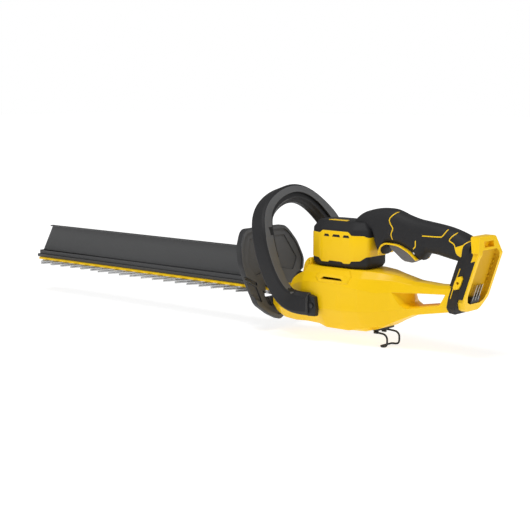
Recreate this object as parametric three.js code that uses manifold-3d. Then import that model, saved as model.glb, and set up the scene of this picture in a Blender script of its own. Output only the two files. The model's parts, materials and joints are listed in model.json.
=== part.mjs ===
// Cordless hedge trimmer: double-sided 550 mm blade, front loop handle, rear D-handle, battery seat.
// Millimetres, +Z up. +X runs to the rear, -X along the blade to its tip, -Y is the user's left.
// While it is being built, x = 0 is the guard, y = 0 the middle and z = 0 the gap between the blades;
// the last lines move the origin to the middle of the underside of the whole tool.
import * as THREE from 'three';
import { mergeVertices } from 'three/addons/utils/BufferGeometryUtils.js';
import Module from 'manifold-3d';

const wasm = await Module();
wasm.setup();

// ---- driving dimensions ----
const gap = 0.35;                 // clearance between pieces that touch
const wall = 2.6;                 // wall of the moulded shells

// blade
const bladeTip = -603;            // x of the blade's tip
const bladeThick = 3;             // one blade
const bladeGap = 0.6;             // between the two blades
const spineHalf = 21;             // half width of a blade without its teeth
const toothReach = 45;            // from the middle to a tooth's point
const toothPitch = 29.7;
const toothRoot = 17;             // length of a tooth where it leaves the spine
const toothPoint = 3.5;           // its point, measured from the same end
const bluntPoint = 8;
const toothCount = 19;
const bluntTeeth = 6;             // short teeth nearest the tip
const bluntReach = 40;
const throwRadius = 7.5;          // eccentric throw, half of a blade's stroke
const boltCount = 5;
const boltRadius = 2.6;
const boltHeadRadius = 5;
const boltHead = 2.6;

// cover strip and clippings panel above the blades
const stripHalf = 25;
const stripThick = 3;
const stripRear = 62;
const footHalf = 17;
const footHeight = 5.8;
const ribHalf = 11;
const ribHeight = 7;
const panelTop = 72;
const panelThick = 3;
const panelRear = -18;
const panelRake = 32;             // how far the panel's end leans back from foot to top
const panelOverhang = 6;          // how far the panel's foot reaches past the blade's tip
const lipOverhang = 9;
const lipWidth = 4.5;
const lipHeight = 2.2;

// guard
const guardLeanLow = 0.13;        // x lost for each millimetre of height, below the bend
const guardLeanHigh = 0.33;       // and above it
const guardBendZ = 45;
const guardThick = 12;
const guardX = 12;
const guardRim = 6;               // rim left round the guard's pockets
const guardPocket = 4;

// drive train
const gearModule = 1.25;
const gearTeeth = 54;
const pinionTeeth = 10;
const motorX = 168;
const gearThick = 7;
const eccentricRadius = 10;
const journalRadius = 5;
const motorRadius = 24;
const motorLow = 64;
const motorHigh = 108;
const motorWall = 2.2;
const shaftRadius = 2.5;
const boxWall = 3;

// motor drum
const drumX = 172;
const drumHalfLength = 57.5;
const drumHalfWidth = 36;
const drumFaceHalf = 25;          // half width of the end faces
const drumSideHalf = 33;          // half length of the side faces
const ringLow = 59;
const bandLow = 73;
const bandHigh = 114;
const capShoulder = 121;
const capHigh = 134;
const capTaper = 9;               // slope of the cap's shoulder
const ringTaper = 4;

// body
const bodyFront = 27;
const bodyRear = 384;
const bodyTop = 58;

// rear handle and battery seat
const gripHalf = 19;
const postHalf = 27;
const seatLean = 1 / 3;           // x gained for each millimetre of height
const seatX = 404.3;              // x of the seat's rear plane at z = 0
const seatDepth = 12;
const seatTopReach = 16;          // depth of the seat's top flange
const seatHalf = 35;
const seatLow = 12;
const seatHigh = 128;

// trigger
const triggerHalf = 8;
const triggerPinRadius = 2;
const triggerPin = [310, 92];

// front loop
const loopX = 66;
const loopTop = 186;
const loopHalf = 108.5;
const loopDepth = 30;
const loopWall = 3.6;
const leverTravel = 3;
const leverGap = 1.3;             // each side of the lever inside the loop's channel
const loopFootReach = 68;         // the feet end this far behind the loop's plane
const clampLength = 15;
const clampInner = 52.6;
const clampOuter = 61;
const screwRadius = 2;

// hanging hook
const wireRadius = 1.6;
const hookHalf = 17;
const hookPivot = [236, -42.5];

// ---- geometry helpers ----
function solid(geometry) {
  const bare = geometry.clone();
  bare.deleteAttribute('normal');
  bare.deleteAttribute('uv');
  const merged = mergeVertices(bare, 1e-4);
  return new wasm.Manifold(new wasm.Mesh({
    numProp: 3,
    vertProperties: Float32Array.from(merged.attributes.position.array),
    triVerts: Uint32Array.from(merged.index.array),
  }));
}

function toGeometry(manifold) {
  const mesh = manifold.getMesh();
  const geometry = new THREE.BufferGeometry();
  geometry.setAttribute('position', new THREE.BufferAttribute(mesh.vertProperties, 3));
  geometry.setIndex(new THREE.BufferAttribute(mesh.triVerts, 1));
  return geometry;
}

function outline(points) {
  return new THREE.Shape(points.map(([a, b]) => new THREE.Vector2(a, b)));
}

function extrude(points, depth, bevel = 0) {
  const shape = points instanceof THREE.Shape ? points : outline(points);
  const options = { depth: depth - 2 * bevel, bevelEnabled: bevel > 0, curveSegments: 6 };
  Object.assign(options, { bevelThickness: bevel, bevelSize: bevel, bevelOffset: -bevel, bevelSegments: 2 });
  const geometry = new THREE.ExtrudeGeometry(shape, options);
  geometry.translate(0, 0, bevel);
  return geometry;
}

// outline in x, y raised from z = low to z = high
function plate(points, low, high, bevel = 0) {
  return solid(extrude(points, high - low, bevel).translate(0, 0, low));
}

// outline in x, z spread across y from -half to half
function slab(points, half, bevel = 0) {
  return solid(extrude(points, 2 * half, bevel).rotateX(Math.PI / 2).translate(0, half, 0));
}

// outline in y, z carried along x from low to high
function bar(points, low, high, bevel = 0) {
  const turn = new THREE.Matrix4().makeBasis(
    new THREE.Vector3(0, 1, 0), new THREE.Vector3(0, 0, 1), new THREE.Vector3(1, 0, 0));
  return solid(extrude(points, high - low, bevel).applyMatrix4(turn).translate(low, 0, 0));
}

function box(x0, x1, y0, y1, z0, z1) {
  const geometry = new THREE.BoxGeometry(x1 - x0, y1 - y0, z1 - z0);
  return solid(geometry.translate((x0 + x1) / 2, (y0 + y1) / 2, (z0 + z1) / 2));
}

function post(x, y, z0, z1, radius, sides = 24, topRadius = radius) {
  const geometry = new THREE.CylinderGeometry(topRadius, radius, z1 - z0, sides).rotateX(Math.PI / 2);
  return solid(geometry.translate(x, y, (z0 + z1) / 2));
}

function pinAlongY(x, z, y0, y1, radius, sides = 20) {
  const geometry = new THREE.CylinderGeometry(radius, radius, y1 - y0, sides);
  return solid(geometry.translate(x, (y0 + y1) / 2, z));
}

function pinAlongX(x0, x1, y, z, radius, sides = 16) {
  const geometry = new THREE.CylinderGeometry(radius, radius, x1 - x0, sides).rotateZ(Math.PI / 2);
  return solid(geometry.translate((x0 + x1) / 2, y, z));
}

function rectangle(x0, x1, y0, y1) {
  return [[x0, y0], [x1, y0], [x1, y1], [x0, y1]];
}

// an outline from its right half; a point on the middle line isn't repeated
function mirrored(half) {
  const left = half.filter(([a]) => a !== 0).reverse().map(([a, b]) => [-a, b]);
  return [...half, ...left];
}

// closed skin through equal rings of points
function loft(rings) {
  const count = rings[0].length;
  const positions = rings.flat(2);
  const index = [];
  for (let ring = 0; ring + 1 < rings.length; ring += 1) {
    for (let k = 0; k < count; k += 1) {
      const a = ring * count + k;
      const b = ring * count + (k + 1) % count;
      index.push(a, b, b + count, a, b + count, a + count);
    }
  }
  const flat = rings[0].map((p) => new THREE.Vector3(...p));
  const normal = new THREE.Vector3();
  flat.forEach((p, k) => normal.add(p.clone().cross(flat[(k + 1) % count])));
  normal.normalize();
  const side = new THREE.Vector3(normal.y, normal.z, normal.x).cross(normal).normalize();
  const across = normal.clone().cross(side);
  const flatOutline = flat.map((p) => new THREE.Vector2(p.dot(side), p.dot(across)));
  const last = (rings.length - 1) * count;
  for (const [a, b, c] of THREE.ShapeUtils.triangulateShape(flatOutline, [])) {
    index.push(c, b, a);
    index.push(last + a, last + b, last + c);
  }
  const geometry = new THREE.BufferGeometry();
  geometry.setAttribute('position', new THREE.Float32BufferAttribute(positions, 3));
  geometry.setIndex(index);
  const body = solid(geometry);
  if (body.volume() > 0) {
    return body;
  }
  const flipped = [];
  for (let k = 0; k < index.length; k += 3) {
    flipped.push(index[k], index[k + 2], index[k + 1]);
  }
  geometry.setIndex(flipped);
  return solid(geometry);
}

function union(pieces) {
  return pieces.reduce((whole, piece) => whole.add(piece));
}

const colours = {
  yellow: [0xffcc12, 0.42, 0],
  black: [0x2b2b2d, 0.7, 0],
  graphite: [0x47484a, 0.55, 0.1],
  grey: [0x6d6e72, 0.6, 0],
  steel: [0xb4b6b8, 0.35, 0.95],
  dark: [0x1c1c1e, 0.5, 0.3],
  brass: [0xc79a4a, 0.35, 0.9],
};
const tool = new THREE.Group();

function add(name, shape, colour) {
  const [hex, roughness, metalness] = colours[colour];
  const material = new THREE.MeshStandardMaterial({ color: hex, roughness, metalness });
  const mesh = new THREE.Mesh(toGeometry(shape), material);
  mesh.name = name;
  tool.add(mesh);
}

// ---- blades ----
const gearPitch = gearModule * gearTeeth / 2;
const pinionPitch = gearModule * pinionTeeth / 2;
const crankX = motorX - gearPitch - pinionPitch;
const windowHalfX = eccentricRadius + 2 * throwRadius + 0.6;
const windowHalfY = eccentricRadius + throwRadius + 0.6;
const bladeRear = crankX + windowHalfX + 6;
const upperLow = bladeGap / 2;
const upperHigh = upperLow + bladeThick;
const firstTooth = bladeTip + 26;

function bladeOutline(shift) {
  const side = [[bladeTip + 8, spineHalf - 6], [bladeTip + 14, spineHalf]];
  for (let k = 0; k < toothCount; k += 1) {
    const blunt = k < bluntTeeth;
    const root = firstTooth + k * toothPitch + shift * (blunt ? 0.5 : 1);
    const reach = blunt ? bluntReach : toothReach;
    const point = root + (blunt ? bluntPoint : toothPoint);
    const flat = blunt ? 2.6 : 0.9;
    side.push([root, spineHalf], [point - flat, reach], [point + flat, reach]);
    side.push([root + toothRoot, spineHalf]);
  }
  side.push([crankX - windowHalfX - 14, spineHalf], [crankX - windowHalfX - 6, spineHalf + 3]);
  side.push([bladeRear, spineHalf + 3]);
  const other = [...side].reverse().map(([x, y]) => [x, -y]);
  return [...side, ...other];
}

const boltSpacing = (panelRear - bladeTip - 90) / (boltCount - 1);
const boltAt = Array.from({ length: boltCount }, (_, k) => bladeTip + 48 + k * boltSpacing);
const slotHalf = throwRadius + boltRadius + 0.6;
const slotSide = boltRadius + 0.4;

function blade(shift, low) {
  let body = plate(bladeOutline(shift), low, low + bladeThick);
  const window = rectangle(crankX - windowHalfX, crankX + windowHalfX, -windowHalfY, windowHalfY);
  body = body.subtract(plate(window, low - 1, low + bladeThick + 1));
  for (const x of boltAt) {
    const slot = rectangle(x - slotHalf, x + slotHalf, -slotSide, slotSide);
    body = body.subtract(plate(slot, low - 1, low + bladeThick + 1));
  }
  return body;
}

add('upper_blade', blade(0, upperLow), 'steel');
add('lower_blade', blade(0, -upperHigh), 'steel');

// ---- cover strip, clippings panel and bolts ----
const stripLow = upperHigh + gap;
const stripHigh = stripLow + stripThick;
const footLow = stripHigh + gap;
const footHigh = footLow + footHeight;
const ribHigh = footHigh + ribHeight;
let strip = plate([
  [bladeTip, -stripHalf + 8], [bladeTip + 8, -stripHalf], [stripRear, -stripHalf],
  [stripRear, stripHalf], [bladeTip + 8, stripHalf], [bladeTip, stripHalf - 8],
], stripLow, stripHigh);
for (const x of boltAt) {
  strip = strip.subtract(post(x, 0, stripLow - 1, stripHigh + 1, boltRadius + gap, 16));
}
add('blade_cover_strip', strip, 'yellow');

const panelFront = bladeTip - panelOverhang;
let panel = bar(rectangle(-footHalf, footHalf, footLow, footHigh), panelFront, panelRear);
panel = panel.add(bar(rectangle(-ribHalf, ribHalf, footHigh - 0.5, ribHigh), panelFront, panelRear));
panel = panel.add(slab([
  [panelFront, ribHigh - 0.5], [panelRear, ribHigh - 0.5], [panelRear, panelTop],
  [panelFront + panelRake, panelTop],
], panelThick / 2));
const lipFront = bladeTip - lipOverhang + panelRake;
const lipSide = -panelThick / 2 - lipWidth;
panel = panel.add(box(lipFront, panelRear, lipSide, panelThick / 2, panelTop - lipHeight, panelTop));
const boltTop = footHigh - 1;
for (const x of boltAt) {
  panel = panel.subtract(post(x, 0, footLow - 1, boltTop + gap, boltRadius + gap, 16));
}
const stemRear = stripRear - 2;
panel = panel.add(bar(rectangle(-footHalf + 4, footHalf - 4, footLow, footHigh), panelRear - 1, stemRear));
add('clippings_panel', panel, 'graphite');

boltAt.forEach((x, k) => {
  const headHigh = -upperHigh - gap;
  const bolt = post(x, 0, headHigh - boltHead, headHigh, boltHeadRadius, 6);
  add(`blade_bolt_${k + 1}`, bolt.add(post(x, 0, headHigh - 0.5, boltTop, boltRadius, 12)), 'steel');
});

// ---- guard ----
function sheared(shape, slope, level, x) {
  return shape.transform([1, 0, 0, 0, 0, 1, 0, 0, slope, 0, 1, 0, x - slope * level, 0, 0, 1]);
}

const guardHalfOutline = [
  [0, -50], [26, -38], [54, -19], [66, 8], [78, 34], [82, 52], [75, 80], [60, 102], [50, 109],
];
let guard = bar(mirrored(guardHalfOutline), -guardThick / 2, guardThick / 2, 2.5);
const pocket = shrink(mirrored(guardHalfOutline), guardRim);
guard = guard.subtract(bar(pocket, guardThick / 2 - guardPocket, guardThick / 2 + 1));
guard = guard.subtract(bar(pocket, -guardThick / 2 - 1, -guardThick / 2 + guardPocket));
const guardBendX = guardX - guardLeanLow * guardBendZ;
const guardLow = guard.subtract(box(-50, 50, -200, 200, guardBendZ, 300));
const guardHigh = guard.subtract(box(-50, 50, -200, 200, -300, guardBendZ));
guard = sheared(guardLow, -guardLeanLow, guardBendZ, guardBendX)
  .add(sheared(guardHigh, -guardLeanHigh, guardBendZ, guardBendX));
const bladeRoom = rectangle(-stripHalf - 3, stripHalf + 3, -upperHigh - 5, footHigh + 2.5);
const bladeChannel = bar(bladeRoom, guardX - 40, bodyFront + 60);
guard = guard.subtract(bladeChannel);
const guardBoltY = 12;
const guardBoltZ = -22;
const guardBoltRadius = 2.2;
const guardFaceX = guardX - guardLeanLow * guardBoltZ;
for (const side of [-1, 1]) {
  guard = guard.subtract(pinAlongX(
    guardFaceX - 30, guardFaceX + 30, side * guardBoltY, guardBoltZ, guardBoltRadius + gap));
}
add('guard', guard, 'graphite');
const guardBoltDepth = 8;
const guardHeadRear = guardFaceX - guardThick / 2 + guardPocket - 2 * gap;
for (const [name, side] of [['left', -1], ['right', 1]]) {
  const y = side * guardBoltY;
  const head = pinAlongX(guardHeadRear - 2.4, guardHeadRear, y, guardBoltZ, guardBoltRadius + 1.8);
  const shankRear = bodyFront + guardBoltDepth - gap;
  const shank = pinAlongX(guardHeadRear - 1, shankRear, y, guardBoltZ, guardBoltRadius);
  add(`guard_screw_${name}`, head.add(shank), 'steel');
}

// ---- body shells ----
// x, top and its half width, shoulder, side, crease, bottom and its half width
const stations = [
  [bodyFront, 14, 14, 11, 19, 3, 22, -18, -33, 10],
  [46, 14, 18, 11, 25, 3, 29, -22, -41, 13],
  [68, 15, 20, 12, 28, 4, 33, -20, -42, 16],
  [74, 25, 22, 20, 33, 10, 38, -14, -42, 18],
  [82, 38, 24, 33, 35, 20, 43, -10, -41, 20],
  [98, 45, 27, 41, 39, 27, 47, -9, -40, 21],
  [112, bodyTop, 32, 48, 43, 33, 50, -8, -40, 22],
  [130, bodyTop, 34, 48, 44, 34, 51, -8, -40, 25],
  [150, bodyTop, 36, 48, 45, 34, 52, -8, -43, 32],
  [195, bodyTop, 36, 47, 45, 33, 52, -8, -43, 32],
  [225, bodyTop, 32, 46, 42, 30, 49, -7, -42, 31],
  [252, bodyTop - 1, 24, 46, 34, 26, 41, -5, -34, 27],
  [275, 54, 15, 46, 25, 28, 32, -1, -22, 22],
  [310, 47, 12, 42, 20, 32, 25, 5, -6, 19],
  [350, 45, 11, 41, 18, 33, 22, 11, 1, 17],
  [bodyRear, 47, 11, 43, 18, 36, 21, 16, 7, 16],
];

function bodyRing([x, top, topHalf, shoulder, shoulderHalf, side, half, crease, bottom, bottomHalf], inset) {
  const right = [
    [bottomHalf - inset, bottom + inset], [half - inset, crease], [half - inset, side],
    [shoulderHalf - inset, shoulder - inset * 0.6], [topHalf - inset * 0.6, top - inset],
  ];
  return mirrored(right).map(([y, z]) => [x, y, z]);
}

const outerBody = loft(stations.map((row) => bodyRing(row, 0)));
const innerRows = stations.map((row) => [...row]);
innerRows[0][0] += wall;
innerRows[innerRows.length - 1][0] += 4;
const innerBody = loft(innerRows.map((row) => bodyRing(row, wall)));
const humpHigh = 69;
const humpRear = drumX - drumHalfLength - gap;
const hump = slab([
  [94, 40], [humpRear, 40], [humpRear, humpHigh], [humpRear - 7, humpHigh], [99, 60],
], drumFaceHalf + 3, 4);
const tailSlot = [[302, 11], [311, 9], [360, 17], [369, 31], [302, 27]];
const tailTunnel = [[298, 7], [312, 5], [364, 13], [374, 35], [298, 31]];

let body = outerBody.subtract(innerBody);
body = body.add(hump);
body = body.subtract(slab([
  [94 + wall, 40], [humpRear - wall, 40], [humpRear - wall, humpHigh - wall],
  [humpRear - 6, humpHigh - wall], [99 + wall, 59],
], drumFaceHalf + 3 - wall));
body = body.add(outerBody.intersect(slab(tailTunnel, 60)));
body = body.subtract(slab(tailSlot, 60));
function octagon(halfLength, halfWidth, faceHalf, sideHalf) {
  const quarter = [[sideHalf, halfWidth], [halfLength, faceHalf]];
  const all = [
    ...quarter, ...[...quarter].reverse().map(([x, y]) => [x, -y]),
    ...quarter.map(([x, y]) => [-x, -y]), ...[...quarter].reverse().map(([x, y]) => [-x, y]),
  ];
  return all.map(([x, y]) => [x + drumX, y]).reverse();
}
const wellInset = wall + 6;       // how far inside the drum's outline the body is open below it
const wellOutline = octagon(
  drumHalfLength - wellInset, drumHalfWidth - wellInset, drumFaceHalf - 4, drumSideHalf - wall);
body = body.subtract(plate(wellOutline, bodyTop - 12, bodyTop + 4));
body = body.subtract(bladeChannel);
const ventZ = [39.5, 44.5];
const ventSlot = box(160, 199, -70, 70, ventZ[0], ventZ[1]);
body = body.subtract(ventSlot);
for (const side of [-1, 1]) {
  const y = side * guardBoltY;
  const bossRear = bodyFront + guardBoltDepth + 3;
  const boreRear = bodyFront + guardBoltDepth;
  body = body.add(pinAlongX(bodyFront + 0.5, bossRear, y, guardBoltZ, guardBoltRadius + 2.4));
  body = body.subtract(pinAlongX(bodyFront - 1, boreRear, y, guardBoltZ, guardBoltRadius + gap));
}
const hookPlateHalf = 23;
const hookPlateX = [hookPivot[0] - 12, hookPivot[0] + 12];
body = body.subtract(box(hookPlateX[0] - gap, hookPlateX[1] + gap, -hookPlateHalf - gap, hookPlateHalf + gap,
  -60, -30));
const clampFront = loopX + loopFootReach + gap;
const clampRear = clampFront + clampLength;
const clampScrewX = (clampFront + clampRear) / 2;
const clampScrewZ = -4;
const screwRoom = pinAlongY(clampScrewX, clampScrewZ, -80, 80, screwRadius + gap, 12);
body = body.subtract(screwRoom);

function halves(whole) {
  const far = 900;
  return {
    left: whole.subtract(box(-far, far, -gap / 2, far, -far, far)),
    right: whole.subtract(box(-far, far, -far, gap / 2, -far, far)),
  };
}

const bodyHalves = halves(body);
add('left_body_shell', bodyHalves.left, 'yellow');
add('right_body_shell', bodyHalves.right, 'yellow');

// ---- gearbox ----
function gearOutline(teeth, turn) {
  const pitch = gearModule * teeth / 2;
  const outer = pitch + 0.85 * gearModule;
  const root = pitch - 1.15 * gearModule;
  const step = 2 * Math.PI / teeth;
  const points = [];
  for (let k = 0; k < teeth; k += 1) {
    const middle = turn + k * step;
    const corners = [[root, -0.34], [outer, -0.13], [outer, 0.13], [root, 0.34]];
    for (const [radius, share] of corners) {
      const angle = middle + share * step;
      points.push([radius * Math.cos(angle), radius * Math.sin(angle)]);
    }
  }
  return points;
}

function twoCircles(x0, r0, x1, r1, sides = 28) {
  const tangent = Math.acos((r0 - r1) / (x1 - x0));
  const points = [];
  for (let k = 0; k <= sides; k += 1) {
    const angle = tangent + k * 2 * (Math.PI - tangent) / sides;
    points.push([x0 + r0 * Math.cos(angle), r0 * Math.sin(angle)]);
  }
  for (let k = 0; k <= sides / 2; k += 1) {
    const angle = -tangent + k * 2 * tangent / (sides / 2);
    points.push([x1 + r1 * Math.cos(angle), r1 * Math.sin(angle)]);
  }
  return points;
}

const webRadius = 14;
const webThick = 2.4;
const floorHigh = -upperHigh - gap - webThick - gap;
const floorLow = floorHigh - boxWall;
const gearLow = 7.5;
const gearHigh = gearLow + gearThick;
const coverLow = gearHigh + 2;
const coverHigh = coverLow + boxWall;
const bossReach = 3;
const crankRoom = gearPitch + gearModule + 3;
const motorRoom = 27;

const boxOutline = twoCircles(crankX, crankRoom + boxWall, motorX, motorRoom + boxWall);
const boxRoom = twoCircles(crankX, crankRoom, motorX, motorRoom);
let housing = plate(boxOutline, floorLow, coverLow - gap);
housing = housing.subtract(plate(boxRoom, floorHigh, coverLow + 5));
const mouth = rectangle(-spineHalf - 4, spineHalf + 4, -upperHigh - gap, upperHigh + gap);
housing = housing.subtract(bar(mouth, crankX - crankRoom - 10, crankX - crankRoom + 14));
housing = housing.add(post(crankX, 0, floorLow - bossReach, floorHigh - 0.1, journalRadius + 4));
housing = housing.subtract(post(crankX, 0, floorLow - bossReach - 1, floorHigh + 1, journalRadius + gap));
add('gearbox_housing', housing, 'steel');

let cover = plate(boxOutline, coverLow, coverHigh);
cover = cover.add(post(crankX, 0, coverHigh - 0.1, coverHigh + bossReach, journalRadius + 4));
cover = cover.subtract(post(crankX, 0, coverLow - 1, coverHigh + bossReach + 1, journalRadius + gap));
cover = cover.subtract(post(motorX, 0, coverLow - 1, coverHigh + 1, shaftRadius + gap));
add('gearbox_cover', cover, 'steel');

let crank = plate(gearOutline(gearTeeth, 0).map(([x, y]) => [x + crankX, y]), gearLow, gearHigh);
crank = union([
  crank,
  post(crankX, 0, floorLow - bossReach, -upperHigh - gap - 0.1, journalRadius),
  post(crankX, 0, -upperHigh - gap - webThick, -upperHigh - gap, webRadius),
  post(crankX, -throwRadius, -upperHigh - gap - 0.1, 0.1, eccentricRadius),
  post(crankX, throwRadius, -0.1, upperHigh + gap + 0.1, eccentricRadius),
  post(crankX, 0, upperHigh + gap, gearLow + 0.1, webRadius),
  post(crankX, 0, gearHigh - 0.1, coverHigh + bossReach, journalRadius),
]);
add('crank_gear', crank, 'steel');

// ---- motor ----
const canInner = motorRadius - motorWall;
const rotorRadius = 15;
const pinionPoints = gearOutline(pinionTeeth, Math.PI / pinionTeeth).map(([x, y]) => [x + motorX, y]);
add('motor_rotor', union([
  plate(pinionPoints, gearLow, gearHigh),
  post(motorX, 0, gearHigh - 0.1, motorHigh + 5, shaftRadius, 16),
  post(motorX, 0, motorLow + 10, motorHigh - 10, rotorRadius),
]), 'steel');

let can = post(motorX, 0, motorLow, motorHigh, motorRadius, 32);
can = can.subtract(post(motorX, 0, motorLow + motorWall, motorHigh - motorWall, canInner, 32));
can = can.subtract(post(motorX, 0, motorLow - 1, motorHigh + 1, shaftRadius + gap, 16));
add('motor_can', can, 'steel');

const magnetOuter = canInner * Math.cos(Math.PI / 32) - gap;
for (const [name, side] of [['left', -1], ['right', 1]]) {
  let magnet = post(motorX, 0, motorLow + 8, motorHigh - 8, magnetOuter, 32);
  magnet = magnet.subtract(post(motorX, 0, motorLow, motorHigh, rotorRadius + 1, 32));
  const keep = box(motorX - 14, motorX + 14, side > 0 ? 0 : -60, side > 0 ? 60 : 0, 0, 200);
  add(`motor_magnet_${name}`, magnet.intersect(keep), 'dark');
}

add('control_board', box(motorX + 44, motorX + 84, -14, 14, 4, 6), 'dark');

// ---- motor drum ----
const cornerShare = 0.4;          // how much of an inset the corners of the octagon follow
const drumOutline = (inset) => octagon(
  drumHalfLength - inset, drumHalfWidth - inset,
  drumFaceHalf - inset * cornerShare, drumSideHalf - inset * cornerShare);
const drumRing = (inset, z) => drumOutline(inset).map(([x, y]) => [x, y, z]);
let ring = loft([drumRing(ringTaper, ringLow), drumRing(0, ringLow + 7), drumRing(0, bandLow - gap)]);
ring = ring.subtract(plate(drumOutline(ringTaper + wall), ringLow - 1, ringLow + wall));
ring = ring.subtract(plate(drumOutline(wall), ringLow + wall + ringTaper - 0.5, bandLow + 1));
ring = ring.subtract(plate(drumOutline(ringTaper + wall), ringLow, ringLow + wall + ringTaper));
add('motor_base_ring', ring, 'black');
let mount = plate(drumOutline(wall + gap), bandLow - gap - 2.5, bandLow - gap);
mount = mount.subtract(post(motorX, 0, ringLow, bandLow + 4, motorRadius + gap, 32));
add('motor_mount_plate', mount, 'steel');

let band = plate(drumOutline(0), bandLow, bandHigh - gap);
band = band.subtract(plate(drumOutline(wall), bandLow - 1, bandHigh + 1));
for (const offset of [-15, 0, 15]) {
  band = band.subtract(box(drumX + offset - 5, drumX + offset + 5, -60, 60, bandHigh - 7, bandHigh - 3.5));
}
add('motor_band', band, 'yellow');

const neckFront = drumX + 22;
let cap = loft([drumRing(0, bandHigh), drumRing(0, capShoulder), drumRing(capTaper, capHigh)]);
cap = cap.subtract(loft([
  drumRing(wall, bandHigh - 1), drumRing(wall, capShoulder - 1), drumRing(capTaper + wall, capHigh - wall),
]));

// ---- rear handle ----
const seatPlane = (z, inset = 0) => [seatX - inset + z * seatLean, z];
const handleTop = [
  [neckFront, capHigh - 3], [neckFront + 10, 144], [neckFront + 22, 153], [neckFront + 42, 157.5],
  [neckFront + 62, 158], [neckFront + 80, 155], [neckFront + 108, 146], [neckFront + 138, 140],
  [365, 136], [386, 130], [406, 121],
];
const handleOutline = [
  ...handleTop, seatPlane(118, seatDepth + 4), seatPlane(88, seatDepth + 4),
  [386, 85], [358, 89], [330, 94],
  [322, 86], [316, 79], [298, 93], [275, 102], [257, 101], [250, 84], [240, 84],
  [236, 100], [232, bandHigh + 3], [neckFront, bandHigh + 6],
];
const gripBevel = 6;
let handle = slab([...handleOutline].reverse(), gripHalf, gripBevel);
const shear = new THREE.Matrix4().set(1, 0, seatLean, 0, 0, 1, 0, 0, 0, 0, 1, 0, 0, 0, 0, 1);
function leaned(points, low, high) {
  return solid(extrude(points, high - low).translate(0, 0, low).applyMatrix4(shear));
}
const postFront = 359;
const postLow = 6;
const postHigh = 104;
const handleWall = 3.2;
const rimThick = 3;
const postPlan = mirrored([
  [gripHalf - 3, postFront], [gripHalf + 3, postFront + 9], [postHalf, postFront + 19],
  [seatHalf - 1, seatX - seatDepth], [seatHalf, seatX - rimThick - gap],
]).map(([y, x]) => [x, y]);
const postSolid = leaned(postPlan, postLow, postHigh);
const rearPost = postSolid.add(leaned([
  [postFront + 24, -gripHalf], [seatX - seatDepth, -gripHalf],
  [seatX - seatDepth, gripHalf], [postFront + 24, gripHalf],
], postHigh - 4, 121));
handle = handle.add(rearPost);
add('motor_cap', cap.subtract(box(neckFront - gap, 400, -gripHalf - 4, gripHalf + 4, 0, 400)), 'black');

// outline moved inwards by a distance, corner by corner
function shrink(points, distance) {
  const area = points.reduce((sum, [x, y], k) => {
    const [u, v] = points[(k + 1) % points.length];
    return sum + x * v - u * y;
  }, 0);
  const turn = Math.sign(area);
  return points.map(([x, y], k) => {
    const before = points[(k + points.length - 1) % points.length];
    const after = points[(k + 1) % points.length];
    const a = new THREE.Vector2(x - before[0], y - before[1]).normalize();
    const b = new THREE.Vector2(after[0] - x, after[1] - y).normalize();
    const normalA = new THREE.Vector2(-a.y, a.x);
    const normalB = new THREE.Vector2(-b.y, b.x);
    const middle = normalA.clone().add(normalB).normalize();
    const length = turn * distance / Math.max(0.5, middle.dot(normalA));
    return [x + middle.x * length, y + middle.y * length];
  });
}

const handleCavity = shrink(handleOutline, handleWall);
handle = handle.subtract(slab(handleCavity, gripHalf - handleWall));

// battery seat: side outline across the lean, front outline across its width
const seatTopRear = seatPlane(100)[0] - 6;
const seatTopFront = seatTopRear - seatTopReach;
const seatSide = [
  seatPlane(seatLow - 2, seatDepth), seatPlane(seatLow - 2), seatPlane(100),
  [seatTopRear, seatHigh - 1], [seatTopFront, seatHigh - 1], seatPlane(100, seatDepth),
];
const seatFace = mirrored([
  [12, seatLow - 3], [22, seatLow + 2], [seatHalf, seatLow + 18], [seatHalf, 99], [24, seatHigh - 3],
  [20, seatHigh - 1],
]);
const pocketLow = 22;
const pocketHigh = 112;
const pocketDepth = 9;
const seatPocket = [
  seatPlane(pocketLow, pocketDepth), seatPlane(pocketLow, -20),
  seatPlane(pocketHigh, -30), seatPlane(pocketHigh, pocketDepth),
];
const cheek = 31.4;
let seat = slab(seatSide, seatHalf + 2).intersect(bar(seatFace, 380, 470));
const cheekRoom = leaned([
  [seatX - seatDepth - 5, cheek - gap], [seatX - rimThick, cheek - gap],
  [seatX - rimThick, 60], [seatX - seatDepth - 5, 60],
], 0, postHigh + gap);
seat = seat.subtract(cheekRoom).subtract(cheekRoom.mirror([0, 1, 0]));
seat = seat.subtract(slab(seatPocket, cheek - 3));
for (const side of [-1, 1]) {
  const y = side * (cheek - 4.5);
  const rail = leaned([
    [seatX - 4, y - 2.5], [seatX - 1, y - 2.5], [seatX - 1, y + 2.5], [seatX - 4, y + 2.5],
  ], 34, 98);
  seat = seat.add(rail);
}
const latchSlot = box(seatPlane(100)[0] - 40, seatPlane(100)[0] + 10, -9, 9, 116, 120);
seat = seat.subtract(latchSlot);
add('battery_seat', seat, 'yellow');

const seatEnvelope = leaned([
  [seatX - seatDepth - gap, -cheek], [seatX + 30, -cheek],
  [seatX + 30, cheek], [seatX - seatDepth - gap, cheek],
], -20, 160);
const bottomEnvelope = leaned([
  [seatX - seatDepth - gap, -50], [seatX + 30, -50], [seatX + 30, 50], [seatX - seatDepth - gap, 50],
], -20, 31);
const topEnvelope = slab([
  seatPlane(100, seatDepth + gap), [480, 100], [480, 135],
  [seatTopFront - 2 * gap, 135], [seatTopFront - 2 * gap, seatHigh - 1],
], 60);
handle = handle.subtract(seatEnvelope).subtract(bottomEnvelope).subtract(topEnvelope);
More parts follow.
